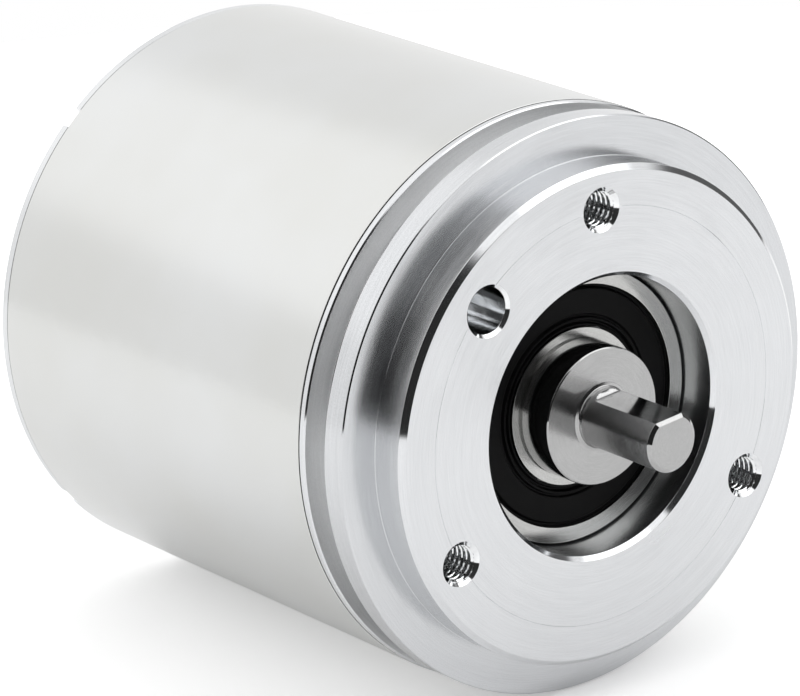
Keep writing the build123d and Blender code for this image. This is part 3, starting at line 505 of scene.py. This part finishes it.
def rubber_material():
    """Black moulded rubber: matt, finely grained and a little dusty."""
    made, tree, shader = start_material("rubber", Metallic=0.0, Specular_IOR_Level=0.09)
    specks = grained(tree, 7000.0, 260.0)
    colour = mixed(tree, between(tree, specks["Clouds"], 0.35, 0.75), (0.0035, 0.0035, 0.0038),
                   (0.008, 0.008, 0.0083))
    rough = between(tree, specks["Clouds"], 0.3, 0.7, 0.40, 0.54)
    join(tree, shader, Base_Color=colour, Roughness=rough, Normal=bumped(tree, 4e-6, specks["Speckle"]))
    return made


rubber = rubber_material()
lip = 7.99
seal_corners = [(-1.4, lip, 0.03), (-0.62, lip, 0.05), (-0.62, lip + 0.2, 0.06), (-0.95, lip + 0.32, 0.05),
                (-0.95, lip + 0.5, 0.05), (-0.5, lip + 0.62, 0.08), (-0.5, lip + 0.84, 0.08),
                (-0.84, lip + 0.96, 0.05), (-0.84, lip + 1.1, 0.05), (-0.6, lip + 1.24, 0.12),
                (-0.6, 11.72, 0.15), (-0.95, 11.9, 0.06), (-0.95, 12.1, 0.04), (-0.72, 12.2, 0.03),
                (-1.4, 12.2, 0.03)]
seal = make("bearing_seal", lathe(seal_corners), sharp=40)
seal.data.materials.append(rubber)
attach(seal, "housing")
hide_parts("front_bearing_front_seal")


def dress(material, *names):
    """Gives kept pieces of the frame their material."""
    for name in names:
        for slot in nodes[name].material_slots:
            slot.material = material


def moulded(name, colour, shade, rough, grains, depth, **fixed):
    """Moulded plastic or another plain stuff: two tones in clouds, its roughness, and a fine grain on the
    surface, given by grains per metre and their depth in metres."""
    made, tree, shader = start_material(name, **fixed)
    specks = grained(tree, grains, 300.0)
    tone = mixed(tree, between(tree, specks["Clouds"], 0.3, 0.7), shade, colour)
    worn = between(tree, specks["Speckle"], 0.3, 0.7, rough * 0.85, rough * 1.15)
    join(tree, shader, Base_Color=tone, Roughness=worn, Normal=bumped(tree, depth, specks["Speckle"]))
    return made


cage_plastic = moulded("cage_plastic", (0.36, 0.21, 0.09), (0.29, 0.16, 0.07), 0.45, 4000.0, 3e-6)
dress(bearing_steel, "front_bearing_balls")
dress(cage_plastic, "front_bearing_cage")
dress(rubber, "front_bearing_rear_seal", "flange_ring")


# ---------------------------------------------------------------------------
# Rear ball bearing, 8 x 22 x 7 mm, in the hub of the flange. It has sheet-steel shields, and a coned
# spring behind the web pushes it back so that both bearings run without play.
# ---------------------------------------------------------------------------
spring_steel = moulded("spring_steel", (0.32, 0.31, 0.30), (0.22, 0.22, 0.22), 0.32, 9000.0, 1e-6,
                       Metallic=1.0)
zinc_steel = moulded("zinc_steel", (0.62, 0.64, 0.66), (0.52, 0.54, 0.57), 0.34, 6000.0, 2e-6, Metallic=1.0)
dress(bearing_steel, "rear_bearing_outer_ring", "rear_bearing_inner_ring", "rear_bearing_balls")
dress(cage_plastic, "rear_bearing_cage")
dress(zinc_steel, "rear_bearing_shields")
dress(spring_steel, "preload_spring")


# ---------------------------------------------------------------------------
# Shaft. Stainless steel, turned and ground: collar against the inner ring, journals, and a stub with a
# milled drive flat in front. It turns in both bearings.
# ---------------------------------------------------------------------------
stub_end, stub_root, stub = 14.0, 4.1, 3.0
flat_start, flat_height, flat_angle = 4.55, 2.5, math.radians(96.0)
flat_way = np.array([0.0, math.cos(flat_angle), math.sin(flat_angle)])
runout = 0.62
end_break = 0.32
shaft_corners = [
    (stub_end, 0.0, 0), (stub_end, 2.65, 0.04), (13.65, stub, 0.05), (stub_root, stub, 0.02),
    (3.78, 3.13, 0.12), (3.65, 3.45, 0.1), (3.65, 6.78, 0.03), (3.53, 6.9, 0.05), (-0.12, 6.9, 0.03),
    (-0.4, 6.62, 0.02), (-0.4, 6.0, 0.1), (-9.2, 6.0, 0.1), (-9.2, 5.0, 0.2), (-15.0, 5.0, 0.2),
    (-15.0, 4.0, 0.1), (-22.0, 4.0, 0), (-22.0, 3.8, 0), (-22.8, 3.8, 0), (-22.8, 4.0, 0), (-24.1, 4.0, 0.1),
    (-24.1, 3.0, 0.1), (-30.7, 3.0, 0.1), (-30.7, 1.0, 0.1), (-36.2, 1.0, 0.1), (-36.2, 0.0, 0),
]


def stub_angles():
    """Angles round the shaft: even ones, with extra ones beside both edges of the flat."""
    half = math.acos(flat_height / stub)
    edges = [flat_angle + s * half + d for s in (-1, 1) for d in (-0.012, -0.004, 0.004, 0.012)]
    return np.unique(np.concatenate([around(240), np.mod(edges, 2 * math.pi)]))


def shaft_skin():
    """Turned outline with the flat cut in: the radius is the smaller of the turned one and h / cos(angle
    from the flat's middle). h is the flat's height, rises as an arc where the cutter ran out, and falls
    at 45 degrees at the broken edge in front."""
    line = rounded(shaft_corners, 5, closed=False)
    start = np.searchsorted(-line[:, 0], -flat_start)
    extra = np.concatenate([[stub_end - 0.01, stub_end - 0.1, stub_end - end_break],
                            np.linspace(flat_start + runout, flat_start, 9)])
    x = np.concatenate([line[:start, 0], extra])
    r = np.concatenate([line[:start, 1], np.interp(-extra, -line[:start, 0], line[:start, 1], right=stub)])
    order = np.argsort(-x, kind="stable")
    line = np.concatenate([np.stack([x[order], r[order]], -1), line[start:]])
    x = line[:, 0]
    rise = np.clip((flat_start + runout - x) / runout, 0, 1)
    rise = (1 - np.sqrt(1 - 0.98 * rise ** 2)) / (1 - math.sqrt(0.02))
    height = flat_height + (stub - flat_height) * rise - np.clip(x - (stub_end - end_break), 0, None)
    angle = stub_angles()
    turn = np.cos(angle - flat_angle)
    chord = np.where(turn > 0.3, height[:, None] / np.maximum(turn, 0.3), 99.0)
    r = np.repeat(line[:, 1:], len(angle), axis=1)
    milled = x > flat_start - 0.001
    r[milled] = np.minimum(r[milled], chord[milled])
    return skin(swept(line[:, :1], r, angle), False)


stainless_steel = turned_metal("stainless_steel", (0.485, 0.485, 0.485), (0.395, 0.395, 0.395), rough=0.2,
                               side=0.12, polished=0.08, marks=0.5e-6, lay=0.35, pitch=0.1e-3)
# Ground finish of the stub. Its tones are set darker than the rest of the shaft as painted shade, standing in
# for the dark seal and collar that the stub reflects
ground_steel_painted_shade = turned_metal("ground_steel_painted_shade", (0.41, 0.41, 0.41), (0.34, 0.34, 0.34), rough=0.2, side=0.22,
                            polished=0.08, marks=0.2e-6, lay=0.95, pitch=0.06e-3)
milled_steel = moulded("milled_steel", (0.56, 0.56, 0.56), (0.47, 0.47, 0.47), 0.09, 6000.0, 0.3e-6,
                       Metallic=1.0)
shaft = make("drive_shaft", shaft_skin(), sharp=22)
shaft.data.materials.append(stainless_steel)
middle, facing = face_places(shaft)
stub_faces = (middle[0] > stub_root) & (np.hypot(middle[1], middle[2]) < stub + 0.01)
above_axis = flat_way @ middle
on_flat = (flat_way @ facing > 0.995) & (above_axis > 2.1) & (above_axis < flat_height + 0.02)
finish_faces(shaft, (ground_steel_painted_shade, stub_faces & (np.abs(facing[0]) < 0.5)),
             (milled_steel, stub_faces & on_flat))
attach(shaft, "shaft")
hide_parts("shaft")
dress(spring_steel, "retaining_ring")


# ---------------------------------------------------------------------------
# Code disc unit. A glass disc with its code track is clamped to a turned hub, and two grub screws hold
# the hub on the shaft.
# ---------------------------------------------------------------------------
hub_aluminium = turned_metal("hub_aluminium", (0.80, 0.81, 0.82), (0.72, 0.73, 0.74), rough=0.3, side=0.22,
                             polished=0.15, marks=1e-6, lay=0.5)
bar_pairs = 512.0
track_inside, track_outside = 0.0155, 0.0195


def disc_glass():
    """Glass disc that carries a chromium code track: dark bars between two radii, clear elsewhere."""
    made, tree, shader = start_material("code_glass", Transmission_Weight=0.9, IOR=1.52, Metallic=0.0)
    xyz = put(tree, "ShaderNodeSeparateXYZ", {0: put(tree, "ShaderNodeTexCoord").outputs["Object"]}).outputs
    turn = maths(tree, "ARCTAN2", xyz[2], xyz[1])
    radius = maths(tree, "SQRT", maths(tree, "ADD", maths(tree, "MULTIPLY", xyz[1], xyz[1]),
                                       maths(tree, "MULTIPLY", xyz[2], xyz[2])))
    bars = maths(tree, "GREATER_THAN", maths(tree, "SINE", maths(tree, "MULTIPLY", turn, bar_pairs)), 0.0)
    track = maths(tree, "MULTIPLY", maths(tree, "GREATER_THAN", radius, track_inside),
                  maths(tree, "LESS_THAN", radius, track_outside))
    colour = mixed(tree, maths(tree, "MULTIPLY", bars, track), (0.93, 0.96, 0.95), (0.05, 0.05, 0.055))
    rough = put(tree, "ShaderNodeMapRange", {"Value": bars, "To Min": 0.03, "To Max": 0.08}).outputs[0]
    join(tree, shader, Base_Color=colour, Roughness=rough)
    return made


glass = disc_glass()
dress(hub_aluminium, "disc_hub", "disc_clamp")
dress(zinc_steel, "grub_screws")
dress(glass, "code_disc", "scanning_mask")


# ---------------------------------------------------------------------------
# Light path. A lamp and its lens sit in a moulded holder on a small board that two screws fix to the
# flange. The sensor looks at the disc through a mask.
# ---------------------------------------------------------------------------
board_green = moulded("board_green", (0.02, 0.14, 0.06), (0.012, 0.10, 0.045), 0.35, 3000.0, 0.000004,
                      Coat_Weight=0.3)
black_plastic = moulded("black_plastic", (0.03, 0.03, 0.032), (0.02, 0.02, 0.021), 0.45, 4000.0, 0.000004)
chip_plastic = moulded("chip_plastic", (0.045, 0.045, 0.047), (0.033, 0.033, 0.035), 0.55, 5000.0, 0.000005)
gold_contact = moulded("gold_contact", (0.93, 0.70, 0.28), (0.86, 0.62, 0.22), 0.2, 9000.0, 0.0000005,
                       Metallic=1.0)
lens_glass = moulded("lens_glass", (0.97, 0.98, 0.98), (0.93, 0.95, 0.95), 0.05, 9000.0, 0.0000002,
                     Transmission_Weight=0.95, IOR=1.5)
dress(board_green, "light_board")
dress(zinc_steel, "light_screws")
dress(gold_contact, "light_leads")
dress(black_plastic, "lamp_holder")
dress(lens_glass, "lamp", "lens")
dress(chip_plastic, "light_sensor")


# ---------------------------------------------------------------------------
# Boards and the studs that they are stacked on: two glass-fibre boards, brass spacers and hexagonal
# pillars, and the chips on the rear board.
# ---------------------------------------------------------------------------
brass = moulded("brass", (0.78, 0.60, 0.30), (0.70, 0.52, 0.25), 0.3, 7000.0, 0.000001, Metallic=1.0)
dress(board_green, "sensor_board", "interface_board")
dress(zinc_steel, "studs")
dress(brass, "front_spacers", "rear_pillars")
dress(black_plastic, "board_header")
dress(chip_plastic, "processor", "line_driver", "counting_sensors")
dress(hub_aluminium, "smoothing_capacitor")


# ---------------------------------------------------------------------------
# Counting gears. Moulded wheels on steel axles, driven by a brass pinion on the shaft's tail, each
# with a ring magnet, between two moulded plates.
# ---------------------------------------------------------------------------
white_plastic = moulded("white_plastic", (0.78, 0.77, 0.73), (0.70, 0.69, 0.65), 0.42, 3500.0, 0.000004)
magnet = moulded("magnet", (0.07, 0.07, 0.075), (0.045, 0.045, 0.05), 0.5, 5000.0, 0.000004)
dress(brass, "shaft_pinion")
dress(black_plastic, "gear_base", "gear_cover")
dress(stainless_steel, "gear_axles")
for number in ("1", "2", "3"):
    dress(white_plastic, "counting_wheel_" + number)
    dress(magnet, "counting_magnet_" + number)


# ---------------------------------------------------------------------------
# Housing sleeve. Thin steel tube, nickel-plated, smooth and a little warm in tone. It is pushed over
# the flange's seat and the cap's spigot, and both its edges are broken.
# ---------------------------------------------------------------------------
sleeve_front, sleeve_rear, sleeve_bore, sleeve_radius = -6.44, -55.26, 28.2, 29.2
sleeve_corners = [
    (sleeve_front, sleeve_bore, 0.02), (sleeve_front, sleeve_radius - 0.04, 0.02),
    (sleeve_front - 0.04, sleeve_radius, 0.02), (sleeve_rear + 0.06, sleeve_radius, 0.02),
    (sleeve_rear, sleeve_radius - 0.06, 0.02), (sleeve_rear, sleeve_bore, 0.02),
]


def plated_material():
    """Nickel plate over drawn steel: soft reflections, slow clouds, and sparse fine specks."""
    made, tree, shader = start_material("plated_steel", Metallic=1.0, Anisotropic=0.25,
                                        Anisotropic_Rotation=0.25)
    specks = grained(tree, 3500.0, 30.0)
    lines = marked(tree, 0.2e-3)
    colour = mixed(tree, between(tree, specks["Clouds"], 0.3, 0.7), (0.668, 0.671, 0.655),
                   (0.712, 0.720, 0.720))
    dots = between(tree, specks["Speckle"], 0.70, 0.80)
    colour = mixed(tree, maths(tree, "MULTIPLY", dots, 0.18), colour, (0.45, 0.44, 0.42))
    rough = between(tree, specks["Clouds"], 0.3, 0.7, 0.19, 0.22)
    height = maths(tree, "ADD", specks["Speckle"], maths(tree, "MULTIPLY", lines["Marks"], 0.5))
    join(tree, shader, Base_Color=colour, Roughness=rough, Normal=bumped(tree, 0.25e-6, height),
         Tangent=circling(tree))
    return made


plated_steel = plated_material()
sleeve = make("sleeve", lathe(sleeve_corners, 448))
sleeve.data.materials.append(plated_steel)
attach(sleeve, "housing")
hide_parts("housing_sleeve")


# ---------------------------------------------------------------------------
# Rear cap. Turned aluminium with four notches in its rim for a pin spanner, three counterbores for the
# cap screws and a ring of rubber in its spigot.
# ---------------------------------------------------------------------------
cap_rear, behind_cap = -56.3, -57.0
cap_bore, cap_radius = 7.0, 29.2
head_seat, head_clearance, shank_clearance = -54.3, 2.85, 1.6
notch_turns, notch_width, notch_bottom, notch_front = (41.0, 132.4, 220.2, 311.0), 2.2, 28.25, -55.28
cap_corners = [
    (cap_rear, cap_bore, 0.1), (cap_rear, cap_radius - 0.2, 0.06), (cap_rear + 0.2, cap_radius, 0.06),
    (-55.3, cap_radius, 0.02), (-55.3, 28.15, 0.05), (-54.9, 28.15, 0.05), (-54.9, 26.85, 0.1),
    (-51.2, 26.85, 0.1), (-51.2, 28.15, 0.05), (-49.5, 28.15, 0.1), (-49.5, 26.25, 0.1), (-52.3, 26.25, 0.3),
    (-52.3, cap_bore, 0.05),
]


def notch_block(angle):
    """Cutter across the rim: the corners of a bar at all pairs of its ends, radii and sides, turned to
    its angle: (x, r cos a - w sin a, r sin a + w cos a)."""
    ends, radii = [behind_cap, notch_front], [notch_bottom, cap_radius + 1.0]
    x, r, w = np.meshgrid(ends, radii, [-notch_width / 2, notch_width / 2], indexing="ij")
    c, s = polar(1.0, angle)
    verts = np.stack([x, r * c - w * s, r * s + w * c], axis=-1).reshape(-1, 3)
    faces = [[0, 1, 3, 2], [4, 6, 7, 5], [0, 4, 5, 1], [2, 3, 7, 6], [0, 2, 6, 4], [1, 5, 7, 3]]
    return verts, [np.array(faces)]


cap = make("cap", lathe(cap_corners))
counterbore = [
    (behind_cap, 0, 0), (behind_cap, 3.55, 0), (-56.15, head_clearance, 0.03),
    (head_seat, head_clearance, 0.05), (head_seat, shank_clearance, 0), (-51.5, shank_clearance, 0),
    (-51.5, 0, 0),
]
cut(cap,
    *[notch_block(turn) for turn in notch_turns],
    *[turned_plug(counterbore, 72, *place) for place in stud_places])
cap_aluminium = turned_metal("cap_aluminium", (0.77, 0.78, 0.79), (0.69, 0.70, 0.71), rough=0.23, side=0.2,
                             polished=0.14, marks=1.2e-6, lay=0.5)
cap.data.materials.append(cap_aluminium)
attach(cap, "housing")
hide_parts("rear_cap")
dress(rubber, "cap_ring", "connector_seal")


# ---------------------------------------------------------------------------
# Cap screws. Three M3 socket screws of zinc-plated steel with knurled heads, sunk in the cap.
# ---------------------------------------------------------------------------
head_corners = [
    (-56.27, 0.0), (-56.27, 1.16), (cap_rear, 1.3), (cap_rear, 2.3), (-56.22, 2.55), (-56.05, 2.68),
    (-55.9, 2.72), (-54.5, 2.72), (-54.34, 2.66), (-54.32, 1.5),
]
ridges, ridge_height = 30, 0.06
screw_radius, screw_end, screw_pitch, screw_thread = 1.5, -48.8, 0.5, 0.28


def knurled_screw(y, z, turns=120):
    """Screw along the axis: its head's radius ripples with the cosine of the angle times the number of
    ridges, and its shank follows a thread form."""
    line = np.array(head_corners)
    shank = np.arange(head_seat, screw_end - 0.1, 0.06)
    x = np.concatenate([line[:, 0], shank, [screw_end, screw_end]])
    r = np.concatenate([line[:, 1], np.full(len(shank), screw_radius), [screw_radius - 0.3, 0.0]])
    angle = around(turns)
    grid = np.repeat(r[:, None], turns, axis=1)
    head = (x < head_seat - 0.1) & (r > 2.6)
    grid[head] -= ridge_height * (0.5 + 0.5 * np.cos(ridges * angle))
    threaded = (x > head_seat + 0.3) & (x < screw_end - 0.2)
    form = thread_depth(x[threaded][:, None] / screw_pitch + angle / (2 * math.pi))
    grid[threaded] -= screw_thread * form
    return skin(swept(x[:, None], grid, angle, y, z), False)


def hexagon(flats, angle):
    """Radius of a hexagon: half its width across flats / cos(angle from the nearest flat's middle)."""
    return flats / np.cos(angle % (math.pi / 3) - math.pi / 6)


def hexagon_plug(y, z, flats=1.0, front=-55.1, rear=-56.6):
    """Cutter for the key: two rows of a hexagon between two poles, the front one ahead like a drill's."""
    angle = around(36)
    x = np.array([front + 0.3, front, rear, rear])[:, None]
    return skin(swept(x, np.array([0, 1, 1, 0])[:, None] * hexagon(flats, angle), angle, y, z), False)


screws = make("cap_screw_set", *[knurled_screw(*place) for place in stud_places], sharp=35)
cut(screws, *[hexagon_plug(*place) for place in stud_places])
screws.data.materials.append(zinc_steel)
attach(screws, "housing")
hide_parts("cap_screws")


# ---------------------------------------------------------------------------
# Connector in the middle of the cap. Nickel-plated brass shell with a hexagon and an M12 x 1 thread,
# a moulded insert with its coding key, and eight gold-plated pins.
# ---------------------------------------------------------------------------
collar_rear, collar_radius, collar_flats = -58.8, 9.75, 8.5
neck_rear, nose_end = -60.0, -66.3
nose_radius, nose_bore, nose_thread = 6.0, 4.35, 0.5
insert_face = -58.5
pin_radius, pin_front, pin_rear = 0.4, -42.7, -64.5
pin_circle, ring_pins = 2.75, 7


def shell_skin(turns=288):
    """Outline of the shell with its radius changed by the angle: within the collar it is the smaller of
    the turned one and the hexagon's, and on the nose it follows a thread of 1 mm pitch."""
    nose = np.arange(neck_rear, -65.7, -0.08)
    outline = rounded([
        (-49.1, nose_bore, 0.1), (-49.1, cap_bore, 0.2), (cap_rear, cap_bore, 0), (cap_rear, 9.2, 0),
        (-56.9, collar_radius, 0), (-58.2, collar_radius, 0), (collar_rear, 9.2, 0), (collar_rear, 5.4, 0.1),
        (-59.8, 5.4, 0.1), (-59.8, 5.75, 0)], closed=False)
    tail = rounded([(-65.75, nose_radius, 0), (nose_end, 5.4, 0.08), (nose_end, 4.75, 0.08),
                    (nose_end + 0.4, nose_bore, 0.08), (neck_rear, nose_bore, 0)], closed=False)
    x = np.concatenate([outline[:, 0], nose, tail[:, 0]])
    r = np.concatenate([outline[:, 1], np.full(len(nose), nose_radius), tail[:, 1]])
    angle = around(turns)
    grid = np.repeat(r[:, None], turns, axis=1)
    collar = (x < cap_rear + 0.01) & (x > collar_rear - 0.01) & (r > 6.5)
    grid[collar] = np.minimum(grid[collar], hexagon(collar_flats, angle))
    run_out = (np.clip((neck_rear - x) / 0.8, 0, 1) * (x >= nose[-1] - 0.01))[:, None]
    threaded = (r > nose_radius - 0.1) & (x < neck_rear + 0.1)
    form = thread_depth(x[:, None] + angle / (2 * math.pi))
    grid[threaded] -= nose_thread * form[threaded] * run_out[threaded]
    return skin(swept(x[:, None], grid, angle), True)


plated_brass = turned_metal("plated_brass", (0.68, 0.66, 0.61), (0.58, 0.56, 0.52), rough=0.24, side=0.18,
                            polished=0.14, marks=0.6e-6, lay=0.35)
shell = make("connector_body", shell_skin(), sharp=30)
shell.data.materials.append(plated_brass)
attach(shell, "housing")
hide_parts("connector_shell")

insert_corners = [
    (-48.1, 0, 0), (-48.1, nose_bore, 0.2), (insert_face, nose_bore, 0.1), (insert_face, 3.9, 0.1),
    (insert_face + 0.25, 3.6, 0.1), (insert_face + 0.25, 0, 0),
]
insert = make("connector_core", turned_plug(insert_corners, 128))
pin_places = [(0.0, 0.0)] + [polar(pin_circle, i * 360 / ring_pins) for i in range(ring_pins)]


def coding_key(count=24, wide=0.6, high=0.45, middle=3.85, square=0.4):
    """Rib along the bore: a rounded bar from the insert to near the mouth, its section carried along. The
    section is a squared ellipse: half width and height times cos and sin, each raised to a power."""
    t = np.linspace(0, 2 * math.pi, count, endpoint=False)
    w = wide * np.sign(np.cos(t)) * np.abs(np.cos(t)) ** square
    h = high * np.sign(np.sin(t)) * np.abs(np.sin(t)) ** square
    x = np.array([insert_face + 0.3, insert_face, nose_end + 1.15, nose_end + 1.0])[:, None]
    grow = np.array([1.0, 1.0, 1.0, 0.85])[:, None]
    rows = np.stack(np.broadcast_arrays(x, w * grow, middle + h * grow), axis=-1)
    poles = np.repeat(rows.mean(axis=1, keepdims=True), count, axis=1)
    return skin(np.concatenate([poles[:1], rows, poles[-1:]]), False)


key = make("coding_key", coding_key())
pin_drill = [(-47.5, 0, 0), (-47.5, pin_radius, 0), (insert_face - 0.5, pin_radius, 0),
             (insert_face - 0.5, 0, 0)]
pin_corners = [(pin_front, 0, 0), (pin_front, pin_radius, 0.05), (pin_rear, pin_radius, 0.3),
               (pin_rear, 0, 0)]
cut(insert, *[turned_plug(pin_drill, 24, *place) for place in pin_places])
pins = make("connector_pin_set", *[turned_plug(pin_corners, 32, *place) for place in pin_places])
for piece, node, material, slot in ((insert, "connector_insert", black_plastic, "black_plastic"),
                                    (pins, "connector_pins", gold_contact, "gold_contact")):
    piece.data.materials.append(material)
    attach(piece, "housing")
    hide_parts(node)
key.data.materials.append(black_plastic)
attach(key, "housing")
dress(plated_brass, "connector_lock_nut")


# ---------------------------------------------------------------------------
# Studio. The encoder lies on a white table. A wide soft light hangs above it, white walls stand
# behind it, and the room on the camera's side is dark, as metal needs it for its edges.
# ---------------------------------------------------------------------------
table_top = -29.25
table_mirrored, table_glow = 0.4, 0.34


def table_skin(radius=260.0, turns=96):
    """Round table top: rings of growing radius just below the sleeve's lowest line."""
    r = np.array([0.0, 60.0, 120.0, 180.0, radius])[:, None]
    angle = around(turns)
    points = np.stack(np.broadcast_arrays(r * np.cos(angle), r * np.sin(angle), table_top), axis=-1)
    return skin(points, False)


mesh = plain_mesh("table", *table_skin())
table = bpy.data.objects.new("table", mesh)
bpy.context.scene.collection.objects.link(table)
table_white = bpy.data.materials.new("table_white")
table_white.use_nodes = True
tree = table_white.node_tree
tree.nodes.clear()
rays = put(tree, "ShaderNodeLightPath").outputs
mirrored = maths(tree, "MULTIPLY", rays["Is Glossy Ray"], table_mirrored)
seen = maths(tree, "MAXIMUM", rays["Is Camera Ray"], mirrored)
matt = put(tree, "ShaderNodeBsdfDiffuse", {"Color": (0.9, 0.9, 0.9, 1.0)}).outputs[0]
glow = put(tree, "ShaderNodeEmission", {"Color": (1, 1, 1, 1),
                                        "Strength": maths(tree, "MULTIPLY", seen, table_glow)}).outputs[0]
both = put(tree, "ShaderNodeAddShader", {0: matt, 1: glow}).outputs[0]
put(tree, "ShaderNodeOutputMaterial", {"Surface": both})
mesh.materials.append(table_white)

lamp_level, front_level, window_level = 1.22, 1.2, 2.0
door_level, room_level, backdrop_level = 0.13, 0.03, 1.0
world = bpy.data.worlds.new("studio")
bpy.context.scene.world = world
world.use_nodes = True
tree = world.node_tree
tree.nodes.clear()
way = put(tree, "ShaderNodeSeparateXYZ", {0: put(tree, "ShaderNodeTexCoord").outputs["Generated"]}).outputs


def leaning(tree, x, y, z, shift=0.0):
    """How far a direction leans to one side: x, y and z parts weighted and added, plus a shift."""
    total = maths(tree, "ADD", maths(tree, "MULTIPLY", way[0], x), maths(tree, "MULTIPLY", way[1], y))
    total = maths(tree, "ADD", total, maths(tree, "MULTIPLY", way[2], z))
    return maths(tree, "ADD", total, shift)


above = between(tree, way[2], -0.14, -0.11)
low = between(tree, leaning(tree, 1.0, 0.167, -1.231, 0.3855), -0.02, 0.05)
left = between(tree, leaning(tree, 0.542, -0.476, -0.693, 0.12), -0.03, 0.03)
far = between(tree, leaning(tree, -0.985, 0.174, 0.0), -0.03, 0.03)
room = maths(tree, "MULTIPLY", left, maths(tree, "MULTIPLY", low, above))
door = maths(tree, "MULTIPLY", far, maths(tree, "MULTIPLY", low, above))
level = between(tree, leaning(tree, 0.0, -0.4226, 0.906), 0.47, 0.53, 1.0, lamp_level)
front = maths(tree, "MULTIPLY", between(tree, leaning(tree, 0.8, 0.6, 0.0), 0.75, 0.85), above)
level = weighed(tree, front, level, front_level)
window = between(tree, leaning(tree, 0.5, 0.5, 0.707), 0.9, 0.94)
level = weighed(tree, window, level, window_level)
level = weighed(tree, door, level, door_level)
level = weighed(tree, room, level, room_level)
rays = put(tree, "ShaderNodeLightPath").outputs
plain = maths(tree, "MAXIMUM", rays["Is Camera Ray"], rays["Is Transmission Ray"])
level = weighed(tree, plain, level, backdrop_level)
shine = put(tree, "ShaderNodeBackground", {"Color": (1, 1, 1, 1), "Strength": level}).outputs[0]
put(tree, "ShaderNodeOutputWorld", {"Surface": shine})

# Camera at the photograph's place, looking a little down on the drive end
eye = np.array([357.04, -298.85, 163.86]) * MM
aim = np.array([-20.000, -6.093, 2.514]) * MM
upright = np.array([0.0, 0.0349, 0.99939])
back = (eye - aim) / np.linalg.norm(eye - aim)
right = np.cross(upright, back)
right /= np.linalg.norm(right)
lens = bpy.data.cameras.new("camera")
lens.lens = 228.882
lens.sensor_width = 36.0
lens.sensor_fit = "HORIZONTAL"
lens.clip_start = 0.01
lens.clip_end = 20.0
camera = bpy.data.objects.new("camera", lens)
placing = np.column_stack([right, np.cross(back, right), back, eye])
camera.matrix_world = Matrix(np.vstack([placing, [0, 0, 0, 1]]))
bpy.context.scene.collection.objects.link(camera)
bpy.context.scene.camera = camera
bpy.context.scene.view_settings.view_transform = "Standard"
